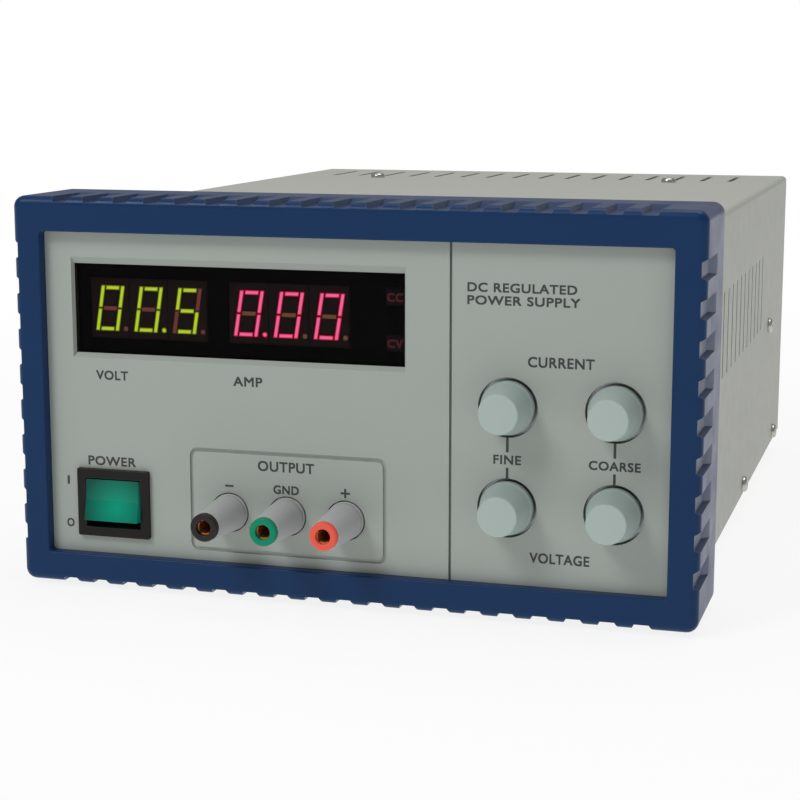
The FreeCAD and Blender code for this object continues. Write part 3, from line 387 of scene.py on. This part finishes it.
# ---- Mesh building blocks ------------------------------------------------------------------
def piece_from(name, work, material, smooth_angle=35):
    """Links a bmesh as a new piece; faces meeting at less than the angle are shaded smooth."""
    bmesh.ops.recalc_face_normals(work, faces=work.faces)
    mesh = bpy.data.meshes.new(name)
    work.to_mesh(mesh)
    work.free()
    mesh.shade_smooth()
    mesh.set_sharp_from_angle(angle=math.radians(smooth_angle))
    mesh.materials.append(material)
    piece = bpy.data.objects.new(name, mesh)
    bpy.context.scene.collection.objects.link(piece)
    return piece


def round_edges(piece, width, segments=3, angle=28):
    """Rounds over every edge sharper than the angle."""
    bevel = piece.modifiers.new("rounded edges", "BEVEL")
    bevel.width = width
    bevel.segments = segments
    bevel.limit_method = "ANGLE"
    bevel.angle_limit = math.radians(angle)
    bevel.miter_outer = "MITER_ARC"
    shading = piece.modifiers.new("flat faces stay flat", "WEIGHTED_NORMAL")
    shading.keep_sharp = True
    return piece


def settle(piece, node, *replaced):
    """Lets a piece ride with a CAD node's body and stand for that node and any others."""
    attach(piece, BODY_OF[node])
    if replaced:
        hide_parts(*replaced)
    return piece


def softened(node, width, segments=3, angle=28, hidden=None):
    """Piece with a CAD node's shape, its edges rounded over as moulding or folding leaves them.
    Faces for which hidden is true lie inside the real moulding and are left out."""
    work = bmesh.new()
    work.from_mesh(frame["nodes"][node].data)
    if hidden:
        inner = [face for face in work.faces if hidden(face)]
        bmesh.ops.delete(work, geom=inner, context="FACES")
    bmesh.ops.remove_doubles(work, verts=work.verts, dist=0.000002)
    if hidden:
        bmesh.ops.holes_fill(work, edges=[edge for edge in work.edges if edge.is_boundary], sides=8)
    bmesh.ops.dissolve_limit(work, angle_limit=math.radians(0.5), verts=work.verts, edges=work.edges,
                             delimit={"NORMAL"})
    piece = piece_from(node + "_finished", work, MATERIALS[SLOT_OF[node]], smooth_angle=angle)
    for layer in ("custom_normal", "sharp_face"):
        if layer in piece.data.attributes:
            piece.data.attributes.remove(piece.data.attributes[layer])
    round_edges(piece, width, segments, angle)
    return settle(piece, node, node)


def dressed(node):
    """Keeps a CAD node and gives it its finished material."""
    for slot in frame["nodes"][node].material_slots:
        slot.material = MATERIALS[SLOT_OF[node]]


def rounded_outline(points, steps=6):
    """Closed outline from (a, b, radius) corners, each corner turned into an arc."""
    outline = []
    for i, (a, b, radius) in enumerate(points):
        corner = Vector((a, b))
        before = Vector(points[i - 1][:2]) - corner
        after = Vector(points[(i + 1) % len(points)][:2]) - corner
        if radius == 0:
            outline.append(corner)
            continue
        turn = before.angle(after)
        reach = radius / math.tan(turn / 2)
        start = corner + before.normalized() * reach
        end = corner + after.normalized() * reach
        inward = (before.normalized() + after.normalized()).normalized()
        middle = corner + inward * radius / math.sin(turn / 2)
        sweep = (end - middle).angle_signed(start - middle)
        for step in range(steps + 1):
            arm = (start - middle).copy()
            arm.rotate(Matrix.Rotation(sweep * step / steps, 2))
            outline.append(middle + arm)
    return outline


def lathe(work, outline, x, z, segments=96, arc=None):
    """Turns a closed outline of (radius, y) about the line along y through x, z; arc=(from, to) in
    radians leaves the rest open, with its two cut faces closed."""
    start, stop = arc or (0, math.tau)
    whole = arc is None
    count = segments if whole else segments + 1
    rings = []
    for i in range(count):
        angle = start + (stop - start) * i / segments
        rings.append([work.verts.new((x + p[0] * math.cos(angle), p[1], z + p[0] * math.sin(angle)))
                      for p in outline])
    for i in range(segments):
        here, there = rings[i], rings[(i + 1) % count]
        for j in range(len(outline)):
            k = (j + 1) % len(outline)
            corners = [here[j], here[k], there[k], there[j]]
            work.faces.new(corners)
    if not whole:
        work.faces.new(rings[0])
        work.faces.new(rings[-1])


def turned(name, corners, x, z, material, segments=96):
    """Round piece about a line along y, from (radius, y, rounding) corners of its section."""
    work = bmesh.new()
    lathe(work, rounded_outline(corners), x, z, segments)
    bmesh.ops.remove_doubles(work, verts=work.verts, dist=0.0000005)
    return piece_from(name, work, material)


def plate(work, outline, front, back):
    """Flat plate facing -y with an outline of (x, z) points."""
    rings = [[work.verts.new((x, y, z)) for x, z in outline] for y in (front, back)]
    work.faces.new(rings[0])
    work.faces.new(rings[1][::-1])
    for i in range(len(outline)):
        k = (i + 1) % len(outline)
        work.faces.new((rings[0][i], rings[0][k], rings[1][k], rings[1][i]))


def rounded_block(work, low, high, width):
    """Box with its edges rounded over."""
    made = bmesh.ops.create_cube(work, size=1)["verts"]
    low, high = Vector(low), Vector(high)
    for vert in made:
        vert.co = Vector([(low[i] + high[i]) / 2 + vert.co[i] * (high[i] - low[i]) for i in range(3)])
    own = {edge for vert in made for edge in vert.link_edges}
    bmesh.ops.bevel(work, geom=list(own), offset=width, segments=3, profile=0.5, affect="EDGES")


# ---- Case and bumper -----------------------------------------------------------------------
RAIL_BOTTOM = 0.0099          # heights of the bumper's two rails
RAIL_TOP = 0.0109
MOUTH_FLAT = 0.0105           # from the bumper's side to where the mouth's walls turn flat
MOUTH_SLACK = 0.0001
LEVEL_SLACK = 0.00001         # a face this close to a joint's height lies in the joint


def build_bumper():
    """The bumper as one moulding, without the faces where its four bars meet."""
    low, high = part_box("front_bumper")
    joints = (low.z + RAIL_BOTTOM, high.z - RAIL_TOP)
    mouth_flat = high.x - MOUTH_FLAT - MOUTH_SLACK

    def between_bars(face):
        return (abs(face.calc_center_median().x) > mouth_flat
                and any(max(abs(vert.co.z - level) for vert in face.verts) < LEVEL_SLACK
                        for level in joints))

    softened("front_bumper", 0.00045, segments=3, angle=24, hidden=between_bars)


def build_case():
    build_bumper()
    softened("front_panel", 0.0002)
    softened("top_cover", 0.0002)
    softened("rear_panel", 0.0002)
    softened("chassis", 0.0002)
    softened("sub_panel", 0.00015)
    softened("rubber_feet", 0.0005)
    softened("cover_screws", 0.00008, segments=2)
    softened("assembly_screws", 0.00008, segments=2)


# ---- Knobs ---------------------------------------------------------------------------------
KNOB_END_RADIUS = 0.0060
KNOB_NECK_RADIUS = 0.0077
SKIRT_LENGTH = 0.0024
SKIRT_STEP = 0.001
KNOB_WALL = 0.00135
SHAFT_BORE_RADIUS = 0.00305
NOSE_THICKNESS = 0.0022
SKIRT_THICKNESS = 0.0005


def build_knob(name):
    """Tapered push-on knob: rounded nose, smooth cone, short skirt sunk in the panel's hole."""
    node = name + "_knob"
    low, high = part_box(node)
    centre = (low + high) / 2
    base = (high.x - low.x) / 2
    nose, back = low.y, high.y
    skirt = back - SKIRT_LENGTH
    corners = [
        (0, nose, 0),
        (KNOB_END_RADIUS, nose, 0.00055),
        (KNOB_NECK_RADIUS, skirt - SKIRT_STEP, 0.0003),
        (base, skirt, 0.0003),
        (base, back, 0.0002),
        (base - KNOB_WALL, back, 0.0002),
        (base - KNOB_WALL, skirt - SKIRT_THICKNESS, 0.0003),
        (SHAFT_BORE_RADIUS, skirt - SKIRT_THICKNESS, 0.0001),
        (SHAFT_BORE_RADIUS, nose + NOSE_THICKNESS, 0),
        (0, nose + NOSE_THICKNESS, 0),
    ]
    knob = turned(name + "_knob_turned", corners, centre.x, centre.z, MATERIALS["knob_plastic"], 128)
    settle(knob, node, node)
    dressed(name + "_shaft")


# ---- Output posts --------------------------------------------------------------------------
CAP_BASE_RADIUS = 0.00575
CAP_END_RADIUS = 0.00455
CAP_BORE_RADIUS = 0.0031
TIP_BORE_RADIUS = 0.0023
SOCKET_RADIUS = 0.002
STEM_RADIUS = 0.003
SLIT = math.radians(11)
SPRING_LENGTH = 0.009
RING_THICKNESS = 0.0014


def build_post(name):
    """Screw cap with its coloured end ring, over a brass stem whose socket is slit in four."""
    low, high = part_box(name + "_post_cap")
    centre = (low + high) / 2
    corners = [
        (CAP_BORE_RADIUS, low.y, 0),
        (CAP_END_RADIUS, low.y, 0.0001),
        (CAP_BASE_RADIUS, high.y - 0.001, 0.0004),
        (CAP_BASE_RADIUS, high.y, 0.0003),
        (CAP_BORE_RADIUS, high.y, 0.0002),
    ]
    cap = turned(name + "_screw_cap", corners, centre.x, centre.z, MATERIALS["post_grey"], 128)
    settle(cap, name + "_post_cap", name + "_post_cap")

    tip = name + "_post_tip"
    low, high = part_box(tip)
    radius = (high.x - low.x) / 2
    corners = [
        (TIP_BORE_RADIUS, low.y, 0.00035),
        (radius, low.y, 0.0006),
        (radius, high.y, 0.0001),
        (CAP_BORE_RADIUS, high.y, 0),
        (CAP_BORE_RADIUS, low.y + RING_THICKNESS, 0),
        (TIP_BORE_RADIUS, low.y + RING_THICKNESS, 0),
    ]
    ring = turned(name + "_end_ring", corners, centre.x, centre.z, MATERIALS[SLOT_OF[tip]], 96)
    settle(ring, tip, tip)

    stem = name + "_post_stem"
    low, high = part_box(stem)
    work = bmesh.new()
    tube = rounded_outline([
        (SOCKET_RADIUS, low.y, 0.00025),
        (STEM_RADIUS, low.y, 0.0003),
        (STEM_RADIUS, low.y + SPRING_LENGTH, 0),
        (SOCKET_RADIUS, low.y + SPRING_LENGTH, 0),
    ])
    for quarter in range(4):
        start = math.radians(45) + quarter * math.tau / 4
        lathe(work, tube, centre.x, centre.z, 20, (start + SLIT, start + math.tau / 4 - SLIT))
    rest = rounded_outline([
        (SOCKET_RADIUS, low.y + SPRING_LENGTH, 0),
        (STEM_RADIUS, low.y + SPRING_LENGTH, 0),
        (STEM_RADIUS, high.y, 0.0005),
        (0, high.y, 0),
        (0, low.y + 2 * SPRING_LENGTH, 0),
        (SOCKET_RADIUS, low.y + 2 * SPRING_LENGTH, 0),
    ])
    lathe(work, rest, centre.x, centre.z, 96)
    bmesh.ops.remove_doubles(work, verts=work.verts, dist=0.0000005)
    socket = piece_from(name + "_slit_socket", work, MATERIALS["post_metal"])
    settle(socket, stem, stem)
    dressed(name + "_clamp_washer")


# ---- Meters --------------------------------------------------------------------------------
GLYPH_HEIGHT = 0.0143
GLYPH_WIDTH = 0.0079
STROKE = 0.0012
SLANT = math.tan(math.radians(9))
SEGMENT_GAP = 0.00055
CORE_INSET = 0.0002           # the brightest part of a lit bar is this much smaller all round
HALO = 0.00008                # and its glow reaches this far beyond the bar
CORE_PROUD = 0.00012          # how far the bright part and the other bars stand out of the module
BAR_PROUD = 0.00006
BAR_DEPTH = 0.0001            # how far they reach into it
MODULE_GAP = 0.00005
MODULE_ROUNDING = 0.0003
POINT_X = 0.0052
POINT_RADIUS = 0.00075
POINT_SIDES = 20
SEGMENTS_OF = {"0": "abcdef", "5": "acdfg"}


def bar_outline(x0, x1, z0, z1):
    return [(x0, z0), (x1, z0), (x1, z1), (x0, z1)]


def segment_outlines(x, z):
    """The seven bars and the point of one digit, slanted, as (x, z) outlines by letter."""
    half = STROKE / 2
    side = GLYPH_WIDTH / 2 - half
    top = GLYPH_HEIGHT / 2 - half
    reach = side - half - SEGMENT_GAP
    bars = {letter: bar_outline(-reach, reach, level - half, level + half)
            for letter, level in (("a", top), ("g", 0), ("d", -top))}
    upper = (SEGMENT_GAP / 2, top + half)
    lower = (-top - half, -SEGMENT_GAP / 2)
    for letter, middle, (z0, z1) in (("b", side, upper), ("c", side, lower),
                                     ("e", -side, lower), ("f", -side, upper)):
        bars[letter] = bar_outline(middle - half, middle + half, z0, z1)
    angles = [i * math.tau / POINT_SIDES for i in range(POINT_SIDES)]
    bars["point"] = [(POINT_X + POINT_RADIUS * math.cos(angle),
                      -GLYPH_HEIGHT / 2 + POINT_RADIUS * (1 + math.sin(angle))) for angle in angles]
    return {letter: [(x + px + (0 if letter == "point" else pz * SLANT), z + pz) for px, pz in outline]
            for letter, outline in bars.items()}


def grown(outline, amount):
    """The outline moved outwards from its own middle by about this amount, or inwards if negative."""
    middle = sum((Vector(p) for p in outline), Vector((0, 0))) / len(outline)
    return [(px + amount * math.copysign(1, px - middle.x), pz + amount * math.copysign(1, pz - middle.y))
            for px, pz in outline]


def build_meter(node, reading, point_after, lit_material, edge_material, off_painted_glow_material):
    """Three digit modules with raised bars; the lit ones glow and have a glowing border, and the unlit ones
    have a faint painted glow.
    """
    low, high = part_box(node)
    pitch = (high.x - low.x) / len(reading)
    bodies = bmesh.new()
    bright, border, painted_glow_bars = bmesh.new(), bmesh.new(), bmesh.new()
    for i, character in enumerate(reading):
        left = low.x + i * pitch
        right = left + pitch
        rounded_block(bodies, (left + MODULE_GAP, low.y, low.z), (right - MODULE_GAP, high.y, high.z),
                      MODULE_ROUNDING)
        outlines = segment_outlines(left + pitch / 2, (low.z + high.z) / 2)
        on = set(SEGMENTS_OF[character]) | ({"point"} if i == point_after else set())
        for letter, outline in outlines.items():
            if letter in on:
                plate(bright, grown(outline, -CORE_INSET), low.y - CORE_PROUD, low.y + BAR_DEPTH)
                plate(border, grown(outline, HALO), low.y - BAR_PROUD, low.y + BAR_DEPTH)
            else:
                plate(painted_glow_bars, outline, low.y - BAR_PROUD, low.y + BAR_DEPTH)
    settle(piece_from(node + "_modules", bodies, MATERIALS[SLOT_OF[node]]), node, node)
    settle(piece_from(node + "_lit_bars", bright, lit_material), node)
    settle(piece_from(node + "_glowing_border", border, edge_material), node)
    settle(piece_from(node + "_unlit_bars_painted_glow", painted_glow_bars, off_painted_glow_material), node)


LAMP_HEIGHT = 0.005
MASK_SETBACK = 0.0006         # from the modules' faces to the mask's
MASK_THICKNESS = 0.0004


def build_mask():
    """Black surround behind the lens that hides the meter board round the modules and lamps."""
    left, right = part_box("display_window")
    volts, amps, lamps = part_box("volt_digits"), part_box("amp_digits"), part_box("status_lamps")
    front = volts[0].y + MASK_SETBACK
    back = front + MASK_THICKNESS
    work = bmesh.new()
    plate(work, bar_outline(left.x, right.x, volts[1].z, right.z), front, back)
    plate(work, bar_outline(left.x, right.x, left.z, volts[0].z), front, back)
    between_lamps = (lamps[0].z + LAMP_HEIGHT, lamps[1].z - LAMP_HEIGHT)
    plate(work, bar_outline(lamps[0].x, lamps[1].x, *between_lamps), front, back)
    gaps = ((left.x, volts[0].x), (volts[1].x, amps[0].x), (amps[1].x, lamps[0].x), (lamps[1].x, right.x))
    for x0, x1 in gaps:
        plate(work, bar_outline(x0, x1, volts[0].z, volts[1].z), front, back)
    settle(piece_from("meter_mask", work, MASK_BLACK), "volt_digits")


# ---- Legends -------------------------------------------------------------------------------
INK_THICKNESS = 0.00003
TEXT_SPREAD = 0.0001          # each word is printed four times, shifted by this, for bolder strokes
PRINT_STEP = 0.000002         # each printing stands this much prouder than the one before


def bold_lettering(work, text, x, z, width, height, front, back):
    """Overprints the lettering a little up, down, left and right."""
    spread = TEXT_SPREAD
    shifts = ((-spread, -spread), (-spread, spread), (spread, -spread), (spread, spread))
    for i, (dx, dz) in enumerate(shifts):
        proud = i * PRINT_STEP
        lettering(work, text, x + dx, z + dz, width - 2 * spread, height - 2 * spread, front - proud, back)


def lettering(work, text, x, z, width, height, front, back):
    """Adds plain block lettering centred at x, z, this wide and with capitals this high."""
    curve = bpy.data.curves.new("lettering", "FONT")
    curve.body = text
    curve.resolution_u = 4
    curve.space_character = 1.08
    carrier = bpy.data.objects.new("lettering", curve)
    bpy.context.scene.collection.objects.link(carrier)
    bpy.context.view_layer.update()
    mesh = bpy.data.meshes.new_from_object(carrier.evaluated_get(bpy.context.evaluated_depsgraph_get()))
    bpy.data.objects.remove(carrier)
    xs = [v.co.x for v in mesh.vertices]
    ys = [v.co.y for v in mesh.vertices]
    scale_x = width / (max(xs) - min(xs))
    scale_z = height / (max(ys) - min(ys))
    flat = bmesh.new()
    flat.from_mesh(mesh)
    for vert in flat.verts:
        vert.co = Vector((x + (vert.co.x - (max(xs) + min(xs)) / 2) * scale_x, front,
                          z + (vert.co.y - (max(ys) + min(ys)) / 2) * scale_z))
    bmesh.ops.remove_doubles(flat, verts=flat.verts, dist=0.000001)
    made = bmesh.ops.extrude_face_region(flat, geom=list(flat.faces))
    for item in made["geom"]:
        if isinstance(item, bmesh.types.BMVert):
            item.co.y = back
    flat.to_mesh(mesh)
    flat.free()
    work.from_mesh(mesh)
    bpy.data.meshes.remove(mesh)


# text, x from the middle, z above the bench, width, capital height
PANEL_LEGENDS = [
    ("VOLT", -0.0775, 0.0691, 0.0110, 0.0030),
    ("AMP", -0.0318, 0.0692, 0.0096, 0.0030),
    ("POWER", -0.0783, 0.0414, 0.0165, 0.0030),
    ("I", -0.0937, 0.0345, 0.0008, 0.0028),
    ("O", -0.0934, 0.0205, 0.0026, 0.0028),
    ("OUTPUT", -0.0196, 0.0430, 0.0185, 0.0033),
    ("GND", -0.0196, 0.0358, 0.0084, 0.0028),
    ("CURRENT", 0.0664, 0.0794, 0.0199, 0.0032),
    ("FINE", 0.0505, 0.0496, 0.0085, 0.0028),
    ("COARSE", 0.0828, 0.0495, 0.0154, 0.0028),
    ("VOLTAGE", 0.0667, 0.0202, 0.0182, 0.0032),
    ("DC REGULATED", 0.0544, 0.1010, 0.0329, 0.0028),
    ("POWER SUPPLY", 0.0549, 0.0972, 0.0339, 0.0028),
]
SIGN_Z = 0.0360
MINUS_ARM = 0.0014
PLUS_ARM = 0.0015
SIGN_STROKE = 0.00032
JOINING_LINE_WIDTH = 0.0008
JOINING_LINES = ((0.0564, 0.0519), (0.0472, 0.0439))


def build_legends():
    """Printed names of the controls, the polarity signs and the lines that pair the knobs."""
    work = bmesh.new()
    front, back = PANEL_FRONT - INK_THICKNESS, PANEL_FRONT + INK_THICKNESS
    for text, x, z, width, height in PANEL_LEGENDS:
        bold_lettering(work, text, x, z, width, height, front, back)
    for name, arm in (("negative", MINUS_ARM), ("positive", PLUS_ARM)):
        x = centre_of(name + "_post_cap").x
        plate(work, bar_outline(x - arm, x + arm, SIGN_Z - SIGN_STROKE, SIGN_Z + SIGN_STROKE), front, back)
    x = centre_of("positive_post_cap").x
    for z0, z1 in ((SIGN_STROKE, PLUS_ARM), (-PLUS_ARM, -SIGN_STROKE)):
        plate(work, bar_outline(x - SIGN_STROKE, x + SIGN_STROKE, SIGN_Z + z0, SIGN_Z + z1), front, back)
    for name in ("current_fine", "current_coarse"):
        x = centre_of(name + "_knob").x
        half = JOINING_LINE_WIDTH / 2
        for top, bottom in JOINING_LINES:
            plate(work, bar_outline(x - half, x + half, bottom, top), front, back)
    settle(piece_from("panel_legends", work, LEGEND_INK), "front_panel")


LAMP_WORD = (0.005, 0.0027)   # width and height of CC and CV
WORD_DEPTH = 0.00005


def build_lamps():
    """Two small legend lamps behind the lens, for constant current and constant voltage."""
    low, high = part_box("status_lamps")
    work = bmesh.new()
    words = bmesh.new()
    for text, z0, z1 in (("CV", low.z, low.z + LAMP_HEIGHT), ("CC", high.z - LAMP_HEIGHT, high.z)):
        rounded_block(work, (low.x, low.y, z0), (high.x, high.y, z1), 0.0003)
        bold_lettering(words, text, (low.x + high.x) / 2, (z0 + z1) / 2, LAMP_WORD[0], LAMP_WORD[1],
                       low.y - WORD_DEPTH, low.y + WORD_DEPTH)
    settle(piece_from("status_lamp_bodies", work, MATERIALS["lamp"]), "status_lamps", "status_lamps")
    settle(piece_from("status_lamp_words", words, RED_LEGEND), "status_lamps")


# ---- Fan -----------------------------------------------------------------------------------
BLADES = 7
HUB_RADIUS = 0.0128
BLADE_TIP_RADIUS = 0.0274
BLADE_THICKNESS = 0.0009
BLADE_STEPS = 8               # faces along a blade and across it
HUB_FRONT = 0.0121            # from the axle's end
HUB_BACK = 0.0028
AXLE_RADIUS = 0.0015
BLADE_ROOT = 0.0004           # how far a blade reaches into the hub
HALF_CHORD = 0.0058
CHORD_GROWTH = 0.0022
PITCH_AT_HUB = 50
PITCH_LOSS = 18
LEAN = 16
CAMBER = 0.0012
DEPTH_SHARE = 0.78            # blades are this much shallower than their pitch gives


def blade_grid(turn, middle):
    """Rows of (radius, angle, y) over one blade's mid surface, from the hub to the tip."""
    half = BLADE_STEPS / 2
    grid = []
    for i in range(BLADE_STEPS + 1):
        reach = i / BLADE_STEPS
        radius = HUB_RADIUS - BLADE_ROOT + (BLADE_TIP_RADIUS - HUB_RADIUS + BLADE_ROOT) * reach
        half_chord = HALF_CHORD + CHORD_GROWTH * reach
        pitch = math.radians(PITCH_AT_HUB - PITCH_LOSS * reach)
        lean = math.radians(LEAN) * reach
        row = []
        for j in range(BLADE_STEPS + 1):
            along = (j / half - 1) * half_chord
            camber = CAMBER * (1 - (j / half - 1) ** 2)
            across = along * math.cos(pitch) - camber * math.sin(pitch)
            depth = along * math.sin(pitch) + camber * math.cos(pitch)
            angle = turn + lean + across / radius
            row.append((radius, angle, middle + depth * DEPTH_SHARE))
        grid.append(row)
    return grid


def add_blade(work, turn, x, middle, z):
    """One closed blade: two skins a thickness apart, joined round their rim."""
    last = BLADE_STEPS
    grid = blade_grid(turn, middle)
    front, back = [
        [[work.verts.new((x + r * math.cos(a), y + side * BLADE_THICKNESS / 2, z + r * math.sin(a)))
          for r, a, y in row] for row in grid]
        for side in (-1, 1)]
    for skin, flip in ((front, False), (back, True)):
        for i in range(last):
            for j in range(last):
                corners = [skin[i][j], skin[i + 1][j], skin[i + 1][j + 1], skin[i][j + 1]]
                work.faces.new(corners[::-1] if flip else corners)
    rim = ([(0, j) for j in range(last + 1)] + [(i, last) for i in range(1, last + 1)]
           + [(last, j) for j in range(last - 1, -1, -1)] + [(i, 0) for i in range(last - 1, 0, -1)])
    for k in range(len(rim)):
        (i, j), (m, n) = rim[k], rim[(k + 1) % len(rim)]
        work.faces.new((front[i][j], front[m][n], back[m][n], back[i][j]))


def build_fan_rotor():
    """Hub cup with seven curved, twisted blades."""
    low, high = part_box("fan_rotor")
    frame_low, frame_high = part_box("fan_frame")
    x, z = (frame_low.x + frame_high.x) / 2, (frame_low.z + frame_high.z) / 2
    axle_end = high.y
    hub_front, hub_back = axle_end - HUB_FRONT, axle_end - HUB_BACK
    work = bmesh.new()
    lathe(work, rounded_outline([
        (0, hub_front, 0), (HUB_RADIUS, hub_front, 0.0012), (HUB_RADIUS, hub_back, 0.0006),
        (AXLE_RADIUS, hub_back, 0.0003), (AXLE_RADIUS, axle_end, 0.0002), (0, axle_end, 0)]), x, z)
    middle = (hub_front + hub_back) / 2
    for blade in range(BLADES):
        add_blade(work, blade * math.tau / BLADES, x, middle, z)
    bmesh.ops.remove_doubles(work, verts=work.verts, dist=0.0000005)
    settle(piece_from("fan_rotor_bladed", work, MATERIALS["fan_black"]), "fan_rotor", "fan_rotor")


# ---- Light, floor and camera ---------------------------------------------------------------
FLOOR_RADIUS = 12
FLOOR_FADE = (0.2, 0.7)       # the floor's own glow rises between these distances from the middle
FLOOR_GLOW = (0.86, 1.0)
SURROUND_LIGHT = 0.32         # how strongly the surround lights the object, against how it looks
KEY_LIGHT = (6.8, 0.45, (-0.5, -0.9, 1.0), (0, -0.1, 0.05))   # watts, size, place, aim
OVERHEAD_LIGHT = (8.0, 1.0, (0.15, 0.2, 1.4), (0, 0, 0))
FOCAL_LENGTH = 84.64          # millimetres, as Blender has them
SENSOR_WIDTH = 36
CAMERA_PLACE = (0.176942, -0.669686, 0.1647)
CAMERA_DIP = 10.03            # degrees below the horizon, and turned from straight ahead
CAMERA_TURN = 16.64


def build_stage():
    """Pale floor that brightens into a white surround."""
    work = bmesh.new()
    bmesh.ops.create_circle(work, cap_ends=True, segments=96, radius=FLOOR_RADIUS)
    made = surface("pale_floor", "F2F2F0", 0.9)
    tree = made.node_tree
    glow = tree.nodes.new("ShaderNodeEmission")
    mix = tree.nodes.new("ShaderNodeMixShader")
    length = tree.nodes.new("ShaderNodeVectorMath")
    length.operation = "LENGTH"
    tree.links.new(coordinates(made), length.inputs[0])
    tree.links.new(stretched(made, length.outputs["Value"], *FLOOR_FADE, *FLOOR_GLOW), mix.inputs["Fac"])
    tree.links.new(shader_of(made).outputs["BSDF"], mix.inputs[1])
    tree.links.new(glow.outputs["Emission"], mix.inputs[2])
    tree.links.new(mix.outputs["Shader"], tree.nodes["Material Output"].inputs["Surface"])
    piece_from("floor", work, made)


def soft_light(name, energy, size, location, target):
    light = bpy.data.lights.new(name, "AREA")
    light.energy = energy
    light.size = size
    lamp = bpy.data.objects.new(name, light)
    lamp.location = location
    lamp.rotation_euler = (Vector(target) - lamp.location).to_track_quat("-Z", "Y").to_euler()
    bpy.context.scene.collection.objects.link(lamp)


def build_light():
    """White surround, seen at full brightness and lighting at less, with a key light and an overhead."""
    world = bpy.data.worlds.new("studio")
    world.use_nodes = True
    bpy.context.scene.world = world
    tree = world.node_tree
    background = tree.nodes["Background"]
    background.inputs["Color"].default_value = (1, 1, 1, 1)
    path = tree.nodes.new("ShaderNodeLightPath")
    strength = tree.nodes.new("ShaderNodeMapRange")
    strength.inputs["To Min"].default_value = SURROUND_LIGHT
    strength.inputs["To Max"].default_value = 1.0
    tree.links.new(path.outputs["Is Camera Ray"], strength.inputs["Value"])
    tree.links.new(strength.outputs["Result"], background.inputs["Strength"])
    soft_light("key", *KEY_LIGHT)
    soft_light("overhead", *OVERHEAD_LIGHT)


def build_camera():
    lens = bpy.data.cameras.new("camera")
    lens.lens = FOCAL_LENGTH
    lens.sensor_width = SENSOR_WIDTH
    made = bpy.data.objects.new("camera", lens)
    made.location = CAMERA_PLACE
    made.rotation_euler = (math.radians(90 - CAMERA_DIP), 0, math.radians(CAMERA_TURN))
    bpy.context.scene.collection.objects.link(made)
    bpy.context.scene.camera = made


# ---- Everything ----------------------------------------------------------------------------
build_case()
softened("display_window", 0.00012, segments=2)
build_meter("volt_digits", "005", 1, VOLT_LIT, VOLT_EDGE, VOLT_OFF_PAINTED_GLOW)
build_meter("amp_digits", "000", 0, AMP_LIT, AMP_EDGE, AMP_OFF_PAINTED_GLOW)
build_mask()
build_lamps()
build_legends()
softened("rocker_housing", 0.0002)
softened("power_rocker", 0.0014, segments=4)
for knob_name in KNOB_NAMES:
    build_knob(knob_name)
for post_name in POST_NAMES:
    build_post(post_name)
build_fan_rotor()
SMALL_PARTS = (
    "mains_inlet", "fuse_drawer", "voltage_selector", "selector_slide", "fan_frame", "heatsink",
    "transformer_core", "transformer_bracket", "filter_capacitors", "power_semiconductors",
    "inlet_blades", "post_insulators", "potentiometer_bodies",
)
for softened_node in SMALL_PARTS:
    softened(softened_node, 0.0002, segments=2)
shown = {piece.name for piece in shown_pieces()}
for cad_node in frame["nodes"]:
    if cad_node in shown:
        dressed(cad_node)

build_stage()
build_light()
build_camera()
bpy.context.scene.view_settings.view_transform = "Standard"
